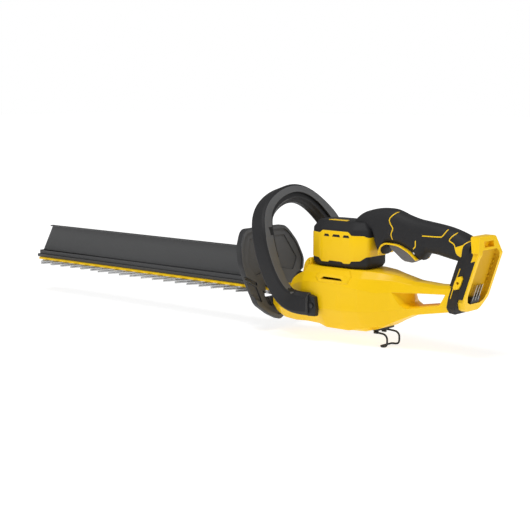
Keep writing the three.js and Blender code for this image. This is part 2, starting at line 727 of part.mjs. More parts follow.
// room for the tail of the body
const tailRoom = box(300, bodyRear + gap, -21.6, 21.6, 0, 47.5);
const postCavity = leaned(mirrored([
  [gripHalf - 6, postFront + 4], [gripHalf - 1, postFront + 10], [postHalf - 4, postFront + 20],
  [cheek - 6, seatX - seatDepth - 5],
]).map(([y, x]) => [x, y]), 10, 100);
handle = handle.subtract(postCavity).subtract(tailRoom);

// ---- trigger ----
const triggerOutline = [
  [255, 99], [260, 93], [268, 88], [280, 79], [286, 76], [300, 75], [311, 80], [317, 86],
  [317, 97], [302, 104], [272, 108],
];
const triggerRoom = [
  [252.5, 96], [262, 84], [278, 70], [316, 70], [321, 84], [321, 100],
  [312, 116], [256, 124], [251.5, 112],
];
handle = handle.subtract(slab(triggerRoom, triggerHalf + 1));
const pinReach = gripHalf - 2;
const triggerPinAt = (reach, radius) => pinAlongY(triggerPin[0], triggerPin[1], -reach, reach, radius);
const pinRoom = triggerPinAt(pinReach + gap, triggerPinRadius + gap);
const pinBoss = triggerPinAt(gripHalf - 1, triggerPinRadius + 3);
const bossRoom = box(200, 400, -triggerHalf - 1, triggerHalf + 1, 0, 200);
handle = handle.add(pinBoss.subtract(bossRoom)).subtract(pinRoom);
const triggerBore = triggerPinAt(gripHalf + 1, triggerPinRadius + gap);
add('trigger', slab(triggerOutline, triggerHalf, 2).subtract(triggerBore), 'grey');
add('trigger_pin', triggerPinAt(pinReach, triggerPinRadius), 'steel');
add('switch_module', slab([[262, 126], [296, 124], [296, 138], [262, 140]], 9), 'dark');

// badges with a screw through each cheek of the post
const badgeX = 402;
const badgeZ = 56;
const badgeInner = 27;
const badgeOuter = 33.6;
const badgeOutline = (grow) => [
  [-6, -8], [-2, -11], [4, -9], [6, -3], [6, 8], [2, 11], [-4, 9], [-6, 3],
].map(([x, z]) => [badgeX + (x + z * seatLean) * (1 + grow), badgeZ + z * (1 + grow)]);
const badge = slab(badgeOutline(0), 60);
const badgeRoom = slab(badgeOutline(gap / 5), 60);
const badgeHole = pinAlongY(badgeX, badgeZ, -60, 60, screwRadius + gap, 12);
for (const [name, side] of [['left', -1], ['right', 1]]) {
  const from = side < 0 ? -badgeOuter : badgeInner;
  const keep = box(300, 500, from, from + badgeOuter - badgeInner, 0, 200);
  const roomFrom = side < 0 ? -80 : badgeInner - gap;
  const room = box(300, 500, roomFrom, roomFrom + 80 - badgeInner + gap, 0, 200);
  handle = handle.subtract(badgeRoom.intersect(room));
  add(`post_badge_${name}`, badge.intersect(keep).intersect(postSolid).subtract(badgeHole), 'yellow');
}
const handleHalves = halves(handle);
add('left_handle_shell', handleHalves.left, 'black');
add('right_handle_shell', handleHalves.right, 'black');

// ---- terminals ----
const terminalHalf = 12;          // half width of the block
const terminalFront = seatX - 8.4;
const terminalRear = seatX - 1;   // behind this the pack's flat back passes
const terminalAt = [-8, 0, 8];
const leafFront = seatX - 7;
const leafHalf = 0.5;
let terminals = leaned([
  [terminalFront, -terminalHalf], [terminalRear, -terminalHalf],
  [terminalRear, terminalHalf], [terminalFront, terminalHalf],
], 22.4, 33);
const bladeLeaf = (y, grow) => leaned([
  [leafFront - grow, y - leafHalf - grow], [terminalRear + grow, y - leafHalf - grow],
  [terminalRear + grow, y + leafHalf + grow], [leafFront - grow, y + leafHalf + grow],
], 27 - grow, 52 + grow);
terminalAt.forEach((y, k) => {
  terminals = terminals.subtract(bladeLeaf(y, gap));
  add(`terminal_blade_${k + 1}`, bladeLeaf(y, 0), 'brass');
});
add('terminal_block', terminals, 'dark');

// ---- front loop ----
// middle line of the loop's left half from the top down to its foot: x behind the loop's plane,
// y, z, thickness and how much deeper than loopDepth it is there
const loopArch = [
  [-24, 0, 177.5, 17, 0], [-24, -25, 172.5, 17, 0], [-24, -46, 164.5, 18, 0], [-22, -63, 154, 19.5, 0],
  [-18, -76, 142, 21, 0], [-12, -85, 130, 23, 0], [-5, -91.5, 118, 24.5, 0], [1, -95, 104, 25, 0],
  [5, -96, 88, 25, 0], [9, -93, 68, 24.5, 1], [13, -86, 45, 23, 2], [18, -77, 22, 20, 4],
  [26, -68, 3, 17.5, 6], [39, -62, -5, 15, 8], [55, -60, -3, 14, 8], [loopFootReach, -60, -3, 14, 8],
];
const archHalf = 108.5;           // half width and top that the list above was drawn for
const archTop = 186;
const loopShoulder = 100;         // above this the arch stretches to the loop's top
const archZ = (z) => (z > loopShoulder
  ? loopShoulder + (z - loopShoulder) * (loopTop - loopShoulder) / (archTop - loopShoulder)
  : z);
const loopLine = loopArch.map(([x, y, z, thick, deeper], k) => [
  x + loopX, k < 12 ? y * loopHalf / archHalf : y, archZ(z), thick, deeper,
]);
const loopCentreZ = 80;
const loopLean = 0.35;            // how far the arch's section tips forward

function loopStations() {
  const left = loopLine.slice(1).reverse();
  const right = loopLine.map(([x, y, ...rest]) => [x, -y, ...rest]);
  return [...left, ...right];
}

function loopFrames() {
  const line = loopStations();
  const place = ([x, y, z]) => new THREE.Vector3(x, y, z);
  return line.map((row, k) => {
    const middle = place(row);
    const ahead = place(line[Math.min(k + 1, line.length - 1)]);
    const behind = place(line[Math.max(k - 1, 0)]);
    const tangent = ahead.sub(behind).normalize();
    const rise = Math.max(row[2] - loopCentreZ, 0);
    const outward = new THREE.Vector3(-loopLean * rise, row[1], rise);
    outward.addScaledVector(tangent, -outward.dot(tangent)).normalize();
    const across = tangent.clone().cross(outward);
    return { middle, across, outward, thick: row[3], deeper: row[4] };
  });
}

const frames = loopFrames();
function sweepLoop(section, list = frames) {
  return loft(list.map((frame) => section(frame.thick).map(([b, n]) => frame.middle.clone()
    .addScaledVector(frame.across, b + Math.sign(b) * frame.deeper / 2)
    .addScaledVector(frame.outward, n).toArray())));
}

const half = loopDepth / 2;
const chamfer = 4;
const loopSolid = sweepLoop((thick) => [
  [-half, -thick / 2 + 1], [-half + 2, -thick / 2], [half - 2, -thick / 2], [half, -thick / 2 + 1],
  [half, thick / 2 - chamfer], [half - chamfer, thick / 2], [-half + chamfer, thick / 2],
  [-half, thick / 2 - chamfer],
]);
const channelFrames = frames.slice(2, frames.length - 2);
const channel = sweepLoop((thick) => [
  [-half + loopWall, -thick / 2 - 3], [half - loopWall, -thick / 2 - 3],
  [half - loopWall, thick / 2 - loopWall], [-half + loopWall, thick / 2 - loopWall],
], channelFrames);
add('front_loop', loopSolid.subtract(channel), 'graphite');

const leverFrom = 9;              // the lever spans the arch from this station to its mirror
const leverFrames = frames.slice(leverFrom, frames.length - leverFrom);
const leverHalf = half - loopWall - leverGap;
const lever = sweepLoop((thick) => [
  [-leverHalf, -thick / 2 - 12], [leverHalf - 6, -thick / 2 - 12], [leverHalf, -thick / 2 - 6],
  [leverHalf, thick / 2 - loopWall - leverTravel - 2], [-leverHalf, thick / 2 - loopWall - leverTravel - 2],
], leverFrames);
add('front_switch_lever', lever, 'black');

// clamps that fix the loop's feet to the body
function sidePin(side, from, to, radius) {
  const [y0, y1] = side < 0 ? [-to, -from] : [from, to];
  return pinAlongY(clampScrewX, clampScrewZ, y0, y1, radius, 12);
}

for (const [name, side] of [['left', -1], ['right', 1]]) {
  const y = [side * clampInner, side * clampOuter].sort((a, b) => a - b);
  const block = slab([
    [clampFront, -22], [clampRear, -21], [clampRear + 1, -10], [clampRear - 2, 10], [clampFront + 3, 13],
    [clampFront, 13],
  ], 80).intersect(box(0, 300, y[0], y[1], -80, 80));
  add(`loop_clamp_${name}`, block.subtract(screwRoom), 'black');
  const head = sidePin(side, clampOuter + gap, clampOuter + gap + 2.2, 4);
  const shank = sidePin(side, clampOuter - 16, clampOuter + gap + 1, screwRadius);
  add(`clamp_screw_${name}`, head.add(shank), 'steel');
}

// ---- hanging hook ----
const hookPlate = box(hookPlateX[0], hookPlateX[1], -hookPlateHalf, hookPlateHalf, -38.6, -34.6);
const lugOuter = 13;
const lugInner = 9;
let lugs = hookPlate;
for (const side of [-1, 1]) {
  const y = [side * lugInner, side * lugOuter].sort((a, b) => a - b);
  lugs = lugs.add(box(hookPivot[0] - 4, hookPivot[0] + 4, y[0], y[1], hookPivot[1] - 3.4, -38));
}
lugs = lugs.subtract(pinAlongY(hookPivot[0], hookPivot[1], -20, 20, wireRadius + gap, 16));
add('hook_plate', lugs, 'black');

const [hookX, hookZ] = hookPivot;
const hookLeg = [
  [hookX, 8, hookZ], [hookX, hookHalf - 3, hookZ], [hookX + 2.5, hookHalf, hookZ],
  [hookX + 18, hookHalf, hookZ - 0.8],
  [hookX + 24, hookHalf, hookZ - 4], [hookX + 26, hookHalf, hookZ - 9], [hookX + 26, hookHalf, hookZ - 15],
  [hookX + 23, hookHalf, hookZ - 20.5], [hookX + 17, hookHalf, hookZ - 21.5],
  [hookX + 12.5, hookHalf - 3, hookZ - 21.3],
];
const hookPoints = [
  ...hookLeg.map(([x, y, z]) => [x, -y, z]),
  ...[...hookLeg].reverse(),
].map((p) => new THREE.Vector3(...p));
const hookCurve = new THREE.CatmullRomCurve3(hookPoints, false, 'centripetal');
const wireSection = new THREE.Shape(Array.from({ length: 8 }, (_, k) => new THREE.Vector2(
  wireRadius * Math.cos(k * Math.PI / 4), wireRadius * Math.sin(k * Math.PI / 4))));
add('hanging_hook', solid(new THREE.ExtrudeGeometry(wireSection, {
  steps: 64, extrudePath: hookCurve, bevelEnabled: false,
})), 'dark');

// ---- origin: middle of the underside ----
const bounds = new THREE.Box3().setFromObject(tool);
tool.position.set(
  -(bounds.min.x + bounds.max.x) / 2, -(bounds.min.y + bounds.max.y) / 2, -bounds.min.z);

export default tool;
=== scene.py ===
import json
import math

import bmesh
import bpy
import numpy as np
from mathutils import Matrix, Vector


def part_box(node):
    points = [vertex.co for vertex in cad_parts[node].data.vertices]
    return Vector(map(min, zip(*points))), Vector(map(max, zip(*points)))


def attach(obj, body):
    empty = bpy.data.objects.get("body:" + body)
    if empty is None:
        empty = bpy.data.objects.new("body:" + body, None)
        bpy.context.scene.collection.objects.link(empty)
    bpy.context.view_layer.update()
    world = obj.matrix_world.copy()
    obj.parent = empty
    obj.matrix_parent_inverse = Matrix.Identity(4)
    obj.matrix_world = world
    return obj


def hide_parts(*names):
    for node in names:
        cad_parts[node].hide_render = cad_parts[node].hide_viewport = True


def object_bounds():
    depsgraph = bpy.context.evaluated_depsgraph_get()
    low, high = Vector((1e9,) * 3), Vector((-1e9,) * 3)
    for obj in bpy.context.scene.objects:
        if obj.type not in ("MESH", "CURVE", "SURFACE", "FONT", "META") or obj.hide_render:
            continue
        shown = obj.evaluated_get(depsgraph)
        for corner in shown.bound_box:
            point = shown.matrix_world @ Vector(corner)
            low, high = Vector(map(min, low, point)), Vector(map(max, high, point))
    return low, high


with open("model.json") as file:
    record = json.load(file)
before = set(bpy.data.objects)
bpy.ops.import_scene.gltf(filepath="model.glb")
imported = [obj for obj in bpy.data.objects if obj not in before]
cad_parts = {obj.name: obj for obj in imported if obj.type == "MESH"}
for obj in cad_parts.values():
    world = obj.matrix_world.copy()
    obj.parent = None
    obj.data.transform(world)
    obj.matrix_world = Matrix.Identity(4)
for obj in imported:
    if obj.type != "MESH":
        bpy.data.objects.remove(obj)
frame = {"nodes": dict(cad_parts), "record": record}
cadLow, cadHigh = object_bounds()
nodes = frame["nodes"]
record = frame["record"]
bodyOf = {node: body for body, members in record["behaviour"]["bodies"].items() for node in members}

# shapes below are in millimetres from the guard's foot: x to the rear, y to the right, z up from the blades
motorFromGuard = 168
rotorLow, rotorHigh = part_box("motor_rotor")
bladeMiddle = (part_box("upper_blade")[0].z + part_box("lower_blade")[1].z) / 2
guardPoint = np.array([(rotorLow.x + rotorHigh.x) / 2 - motorFromGuard / 1000, 0, bladeMiddle])

view = {"turn": 40.8, "down": 8.05, "lens": 85, "sensor": 36, "place": (1398, -1632, 347)}


def addCamera():
    data = bpy.data.cameras.new("camera")
    data.lens = view["lens"]
    data.sensor_width = view["sensor"]
    camera = bpy.data.objects.new("camera", data)
    camera.location = toRow(view["place"])
    camera.rotation_euler = (math.radians(90 - view["down"]), 0, math.radians(view["turn"]))
    bpy.context.scene.collection.objects.link(camera)
    bpy.context.scene.camera = camera


# shape tools
def toRow(points):
    return guardPoint + np.asarray(points, float) / 1000


def newPiece(name, vertices, faces):
    mesh = bpy.data.meshes.new(name)
    mesh.from_pydata(vertices.tolist(), [], faces)
    piece = bpy.data.objects.new(name, mesh)
    bpy.context.scene.collection.objects.link(piece)
    return piece


def reshape(piece, change):
    shape = bmesh.new()
    shape.from_mesh(piece.data)
    change(shape)
    shape.to_mesh(piece.data)
    shape.free()


def tidyMesh(piece, merge=1e-6, flat=0.0, turnOut=True):
    def clean(shape):
        bmesh.ops.remove_doubles(shape, verts=shape.verts, dist=merge)
        if flat > 0:
            bmesh.ops.dissolve_limit(shape, angle_limit=math.radians(flat), verts=shape.verts,
                                     edges=shape.edges)
        if turnOut:
            bmesh.ops.recalc_face_normals(shape, faces=shape.faces)
            if shape.calc_volume(signed=True) < 0:
                bmesh.ops.reverse_faces(shape, faces=shape.faces)

    reshape(piece, clean)
    return piece


def unit(vectors, least=0.0):
    return vectors / (np.linalg.norm(vectors, axis=-1, keepdims=True) + least)


# every row between the ends moves towards its neighbours
def evenOut(table, times):
    for _ in range(times):
        table[1:-1] = 0.25 * table[:-2] + 0.5 * table[1:-1] + 0.25 * table[2:]
    return table


# grid[i, j] is point j of ring i; rings run round, and the ends are closed
# unless the rings close on themselves
def skin(name, grid, roundTrip=False):
    rings, count = grid.shape[:2]
    row, column = np.meshgrid(np.arange(rings if roundTrip else rings - 1), np.arange(count), indexing="ij")
    nextRow = (row + 1) % rings
    nextColumn = (column + 1) % count
    corners = [row * count + column, row * count + nextColumn,
               nextRow * count + nextColumn, nextRow * count + column]
    faces = np.stack(corners, -1).reshape(-1, 4).tolist()
    if not roundTrip:
        faces.append(list(range(count))[::-1])
        faces.append(list(range((rings - 1) * count, rings * count)))
    return tidyMesh(newPiece(name, toRow(grid.reshape(-1, 3)), faces))


# each corner of every ring becomes a quadratic curve that starts and ends the cut's length away from it;
# fill adds points along the straight stretch up to the next corner
def roundCorners(rings, cuts, steps=4, fill=0):
    rings = np.asarray(rings, float)
    back = np.roll(rings, 1, axis=-2) - rings
    ahead = np.roll(rings, -1, axis=-2) - rings
    backLength = np.linalg.norm(back, axis=-1, keepdims=True) + 1e-9
    aheadLength = np.linalg.norm(ahead, axis=-1, keepdims=True) + 1e-9
    cut = np.broadcast_to(np.asarray(cuts, float), rings.shape[-2:-1])[:, None]
    start = rings + back / backLength * np.minimum(cut, backLength * 0.48)
    end = rings + ahead / aheadLength * np.minimum(cut, aheadLength * 0.48)
    t = np.linspace(0, 1, steps)[:, None]
    curve = ((1 - t) ** 2 * start[..., None, :] + 2 * t * (1 - t) * rings[..., None, :]
             + t ** 2 * end[..., None, :])
    share = (np.arange(1, fill + 1) / (fill + 1))[:, None]
    straight = end[..., None, :] + (np.roll(start, -1, axis=-2) - end)[..., None, :] * share
    whole = np.concatenate([curve, straight], axis=-2)
    return whole.reshape(*rings.shape[:-2], -1, rings.shape[-1])


# a table whose first column grows, read at more places with slopes that never overshoot
def easeRows(rows, places):
    rows = np.asarray(rows, float)
    x = rows[:, 0]
    step = np.diff(x)[:, None]
    rise = np.diff(rows, axis=0) / step
    slope = np.zeros_like(rows)
    same = rise[:-1] * rise[1:] > 0
    heavy = 2 * step[1:] + step[:-1]
    light = step[1:] + 2 * step[:-1]
    lower = np.where(same, rise[:-1], 1)
    upper = np.where(same, rise[1:], 1)
    slope[1:-1] = np.where(same, (heavy + light) / (heavy / lower + light / upper), 0)
    slope[0] = rise[0]
    slope[-1] = rise[-1]
    k = np.clip(np.searchsorted(x, places, side="right") - 1, 0, len(x) - 2)
    h = step[k]
    t = ((places - x[k]) / step[k, 0])[:, None]
    return ((2 * t ** 3 - 3 * t ** 2 + 1) * rows[k] + (t ** 3 - 2 * t ** 2 + t) * h * slope[k]
            + (3 * t ** 2 - 2 * t ** 3) * rows[k + 1] + (t ** 3 - t ** 2) * h * slope[k + 1])


# an outline of (a, b) points given a thickness along the third axis; its rim is rounded by bevel rings
def plate(name, points, low, high, axis="y", cuts=0.8, rim=0.6, steps=3):
    flat = roundCorners(points, cuts, steps)
    area = np.sum(flat[:, 0] * np.roll(flat[:, 1], -1) - flat[:, 1] * np.roll(flat[:, 0], -1))
    along = unit(np.roll(flat, -1, axis=0) - np.roll(flat, 1, axis=0), 1e-9)
    inward = np.stack([-along[:, 1], along[:, 0]], -1) * np.sign(area)
    turn = np.linspace(0, math.pi / 2, 4)
    inset = np.concatenate([rim * (1 - np.sin(turn)), rim * (1 - np.cos(turn))])
    level = np.concatenate([low + rim * (1 - np.cos(turn)), high - rim * (1 - np.sin(turn))])
    ring = flat[None] + inward[None] * inset[:, None, None]
    third = np.broadcast_to(level[:, None], ring.shape[:2])
    order = {"x": (third, ring[..., 0], ring[..., 1]), "y": (ring[..., 0], third, ring[..., 1]),
             "z": (ring[..., 0], ring[..., 1], third)}
    return skin(name, np.stack(order[axis], -1))


def settle(piece):
    graph = bpy.context.evaluated_depsgraph_get()
    mesh = bpy.data.meshes.new_from_object(piece.evaluated_get(graph))
    piece.modifiers.clear()
    old = piece.data
    piece.data = mesh
    mesh.name = piece.name
    bpy.data.meshes.remove(old)
    return piece


def join(piece, other, operation="DIFFERENCE", keepOther=False):
    modifier = piece.modifiers.new("join", "BOOLEAN")
    modifier.object = other
    modifier.operation = operation
    modifier.solver = "MANIFOLD"
    settle(piece)
    if not keepOther:
        bpy.data.objects.remove(other)
    return piece


# a box between two values on each axis
def block(x, y, z):
    low = np.array([x[0], y[0], z[0]])
    high = np.array([x[1], y[1], z[1]])
    corner = np.array([[0, 0], [1, 0], [1, 1], [0, 1]])
    ring = low[:2] + (high - low)[:2] * corner
    grid = np.stack([np.column_stack([ring, np.full(4, level)]) for level in (z[0], z[1])])
    return skin("cutter", grid)


def soften(piece, width, segments=2, angle=30):
    modifier = piece.modifiers.new("edges", "BEVEL")
    modifier.width = width / 1000
    modifier.segments = segments
    modifier.limit_method = "ANGLE"
    modifier.angle_limit = math.radians(angle)
    modifier.harden_normals = False
    return settle(piece)


def smooth(piece, angle=34):
    piece.data.shade_smooth()
    piece.data.set_sharp_from_angle(angle=math.radians(angle))
    return piece


def finishPiece(piece, material, *replaced, body=None, angle=34):
    smooth(piece, angle)
    piece.data.materials.clear()
    piece.data.materials.append(material)
    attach(piece, body or bodyOf[replaced[0]])
    if replaced:
        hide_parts(*replaced)
    return piece


def perFace(piece, kind):
    flat = np.zeros(len(piece.data.polygons) * 3, np.float32)
    piece.data.polygons.foreach_get(kind, flat)
    return flat.reshape(-1, 3)


def paintFaces(piece, material, chosen):
    piece.data.materials.append(material)
    piece.data.polygons.foreach_set("material_index", chosen.astype(np.int32))
    piece.data.update()


# a second colour on the faces that look one way, used for painted shade and painted sheen
def paintFacing(piece, material, axis, least=0.8):
    paintFaces(piece, material, perFace(piece, "normal") @ np.array(axis, float) > least)


# a closed piece cut into its left and right halves, a little apart
def halves(piece, names, x, z, split):
    far = 90
    right = piece.copy()
    right.data = piece.data.copy()
    bpy.context.scene.collection.objects.link(right)
    piece.name, right.name = names
    join(piece, block(x, (-split, far), z))
    join(right, block(x, (-far, split), z))
    return piece, right


# the same solid as a part of the frame, with its edges rounded
def softCopy(node, material, width=0.6, segments=2, angle=30, flat=1.0):
    piece = bpy.data.objects.new(node + "_fine", nodes[node].data.copy())
    bpy.context.scene.collection.objects.link(piece)
    tidyMesh(piece, merge=2e-6, flat=flat, turnOut=False)
    soften(piece, width, segments, angle)
    return finishPiece(piece, material, node)


# outward normals of a grid whose rings run round
def gridNormals(grid):
    along = np.gradient(grid, axis=0)
    around = np.roll(grid, -1, axis=1) - np.roll(grid, 1, axis=1)
    normal = unit(np.cross(along, around), 1e-9)
    middle = grid.mean(axis=1, keepdims=True)
    facing = np.sign(np.sum(normal * (grid - middle)))
    return normal * facing


# rings of (y, z) points, drawn for one side, made whole and set at their x
def wholeRings(x, right, cuts, steps, fill):
    ring = roundCorners(np.concatenate([right, right[:, ::-1] * (-1, 1)], axis=1), cuts, steps, fill)
    return np.concatenate([np.broadcast_to(x[:, None, None], ring.shape[:2] + (1,)), ring], -1)


# 1 inside an outline whose corners run anticlockwise and bulge outwards, falling to 0 over the edge's width
def insideOutline(a, b, corners, edge):
    corners = np.asarray(corners, float)
    side = np.roll(corners, -1, axis=0) - corners
    normal = np.stack([side[:, 1], -side[:, 0]], -1) / np.linalg.norm(side, axis=1, keepdims=True)
    away = (a[..., None] - corners[:, 0]) * normal[:, 0] + (b[..., None] - corners[:, 1]) * normal[:, 1]
    share = np.clip(0.5 - away.max(axis=-1) / edge, 0, 1)
    return share * share * (3 - 2 * share)


# a section carried along a line: places (n, 3) with the two directions of the section at each place
def sweep(name, places, first, second, section, roundTrip=False):
    section = np.broadcast_to(section, (len(places),) + np.shape(section)[-2:])
    grid = places[:, None] + first[:, None] * section[..., :1] + second[:, None] * section[..., 1:]
    return skin(name, grid, roundTrip)


# a line through chosen points, with the corners eased
def easedLine(points, count):
    points = np.asarray(points, float)
    length = np.concatenate([[0], np.cumsum(np.linalg.norm(np.diff(points, axis=0), axis=1))])
    return easeRows(np.column_stack([length, points]), np.linspace(0, length[-1], count))[:, 1:]


# a flat strip along a line of (x, z) points, standing between two depths in y
def ribbon(name, line, width, low, high, rim=0.5, count=60):
    flat = easedLine(line, count)
    ahead = unit(np.gradient(flat, axis=0))
    places = np.column_stack([flat[:, 0], np.full(count, (low + high) / 2), flat[:, 1]])
    across = np.column_stack([-ahead[:, 1], np.zeros(count), ahead[:, 0]])
    outward = np.broadcast_to([0.0, 1.0, 0.0], places.shape)
    half, deep = width / 2, (high - low) / 2
    section = roundCorners([[-half, -deep], [half, -deep], [half, deep], [-half, deep]], rim, 3)
    return sweep(name, places, across, outward, section)


def moveVertices(piece, change):
    count = len(piece.data.vertices)
    flat = np.zeros(count * 3, np.float32)
    piece.data.vertices.foreach_get("co", flat)
    points = (flat.reshape(-1, 3) - guardPoint) * 1000
    piece.data.vertices.foreach_set("co", toRow(change(points)).astype(np.float32).ravel())
    piece.data.update()
    return piece


# materials
def newGroup(name, inputs, outputs):
    group = bpy.data.node_groups.new(name, "ShaderNodeTree")
    for key, value in inputs.items():
        socket = group.interface.new_socket(name=key, in_out="INPUT", socket_type="NodeSocketFloat")
        socket.default_value = value
    for key in outputs:
        group.interface.new_socket(name=key, in_out="OUTPUT", socket_type="NodeSocketFloat")
    return group, group.nodes.new("NodeGroupInput"), group.nodes.new("NodeGroupOutput")


# each row is a node, its output, and the node and input that it goes to
def wire(tree, *rows):
    for source, output, target, socket in rows:
        tree.links.new(source.outputs[output], target.inputs[socket])


def nodeIn(tree, kind, **values):
    made = tree.nodes.new(kind)
    for name, value in values.items():
        if name in made.inputs:
            made.inputs[name].default_value = value
        else:
            setattr(made, name, value)
    return made


def mapRange(tree, before=(0.0, 1.0), after=(0.0, 1.0)):
    made = tree.nodes.new("ShaderNodeMapRange")
    made.inputs["From Min"].default_value, made.inputs["From Max"].default_value = before
    made.inputs["To Min"].default_value, made.inputs["To Max"].default_value = after
    return made


# fine moulded grain: a height and a mask that varies slowly over the surface
def makeGrainGroup():
    group, start, end = newGroup("mouldGrain", {"Size": 900.0, "Patch": 9.0}, ["Height", "Mask"])
    place = nodeIn(group, "ShaderNodeTexCoord")
    fine = nodeIn(group, "ShaderNodeTexNoise", Detail=3.0, Roughness=0.62)
    cells = nodeIn(group, "ShaderNodeTexVoronoi", Randomness=1.0)
    slow = nodeIn(group, "ShaderNodeTexNoise", Detail=4.0, Roughness=0.55, Distortion=0.4)
    both = nodeIn(group, "ShaderNodeMath", operation="ADD")
    wire(group, *((place, "Object", texture, "Vector") for texture in (fine, cells, slow)),
         (start, "Size", fine, "Scale"), (start, "Size", cells, "Scale"), (start, "Patch", slow, "Scale"),
         (fine, "Fac", both, 0), (cells, "Distance", both, 1),
         (both, 0, end, "Height"), (slow, "Fac", end, "Mask"))
    return group


# where a rounded normal leaves the flat one an edge is near; noise breaks the line up. The lighter edge
# colour mixed in there is partly wear and partly painted highlight
def makeEdgeGroup():
    group, start, end = newGroup("edgeWearAndHighlight", {"Radius": 0.0012, "Amount": 0.5}, ["Edge"])
    place = nodeIn(group, "ShaderNodeTexCoord")
    bevel = nodeIn(group, "ShaderNodeBevel", samples=4)
    geometry = nodeIn(group, "ShaderNodeNewGeometry")
    dot = nodeIn(group, "ShaderNodeVectorMath", operation="DOT_PRODUCT")
    spread = mapRange(group, (0.985, 0.80))
    broken = nodeIn(group, "ShaderNodeTexNoise", Scale=160.0, Detail=5.0, Roughness=0.7)
    times = nodeIn(group, "ShaderNodeMath", operation="MULTIPLY")
    amount = nodeIn(group, "ShaderNodeMath", operation="MULTIPLY")
    wire(group, (start, "Radius", bevel, "Radius"), (bevel, "Normal", dot, 0), (geometry, "Normal", dot, 1),
         (dot, "Value", spread, "Value"), (place, "Object", broken, "Vector"), (spread, "Result", times, 0),
         (broken, "Fac", times, 1), (times, 0, amount, 0), (start, "Amount", amount, 1),
         (amount, 0, end, "Edge"))
    return group


# dust that settles on faces looking up, in soft patches
def makeDustGroup():
    group, start, end = newGroup("settledDust", {"Amount": 0.2}, ["Dust"])
    place = nodeIn(group, "ShaderNodeTexCoord")
    geometry = nodeIn(group, "ShaderNodeNewGeometry")
    parts = nodeIn(group, "ShaderNodeSeparateXYZ")
    patch = nodeIn(group, "ShaderNodeTexNoise", Scale=26.0, Detail=6.0, Roughness=0.65)
    upward = mapRange(group, (0.1, 1.0))
    ramp = mapRange(group, (0.42, 0.78))
    times = nodeIn(group, "ShaderNodeMath", operation="MULTIPLY")
    amount = nodeIn(group, "ShaderNodeMath", operation="MULTIPLY")
    wire(group, (geometry, "Normal", parts, 0), (parts, "Z", upward, "Value"),
         (place, "Object", patch, "Vector"), (patch, "Fac", ramp, "Value"), (upward, "Result", times, 0),
         (ramp, "Result", times, 1), (times, 0, amount, 0), (start, "Amount", amount, 1),
         (amount, 0, end, "Dust"))
    return group


groups = {"grain": makeGrainGroup(), "edge": makeEdgeGroup(), "dust": makeDustGroup()}


def groupIn(tree, name, **values):
    made = tree.nodes.new("ShaderNodeGroup")
    made.node_tree = groups[name]
    for key, value in values.items():
        made.inputs[key].default_value = value
    return made


def mixColour(tree, factor, first, second):
    made = nodeIn(tree, "ShaderNodeMix", data_type="RGBA")
    for value, socket in ((factor, 0), (first, 6), (second, 7)):
        if isinstance(value, bpy.types.NodeSocket):
            tree.links.new(value, made.inputs[socket])
        else:
            made.inputs[socket].default_value = value
    return made.outputs[2]


dustColour = (0.42, 0.40, 0.36, 1)


# finish: colour, second colour in slow patches, roughness range, grain size and depth, edge colour and share
def makeFinish(name, look):
    material = bpy.data.materials.new(name)
    material.use_nodes = True
    tree = material.node_tree
    shader = tree.nodes["Principled BSDF"]
    grain = groupIn(tree, "grain", Size=look["grain"], Patch=9.0)
    edge = groupIn(tree, "edge", Radius=0.001, Amount=look["edge"])
    dust = groupIn(tree, "dust", Amount=look.get("dust", 0.05))
    colour = mixColour(tree, grain.outputs["Mask"], (*look["colour"], 1), (*look["second"], 1))
    # lighter edges: partly wear, partly painted highlight
    colour = mixColour(tree, edge.outputs["Edge"], colour, (*look["edgeColour"], 1))
    colour = mixColour(tree, dust.outputs["Dust"], colour, dustColour)
    tree.links.new(colour, shader.inputs["Base Color"])
    rough = mapRange(tree, after=look["rough"])
    bump = nodeIn(tree, "ShaderNodeBump", Strength=look["bump"], Distance=0.0002)
    wire(tree, (grain, "Mask", rough, "Value"), (rough, "Result", shader, "Roughness"),
         (grain, "Height", bump, "Height"), (bump, "Normal", shader, "Normal"))
    shader.inputs["Metallic"].default_value = look.get("metal", 0.0)
    shader.inputs["Specular IOR Level"].default_value = look.get("specular", 0.5)
    return material


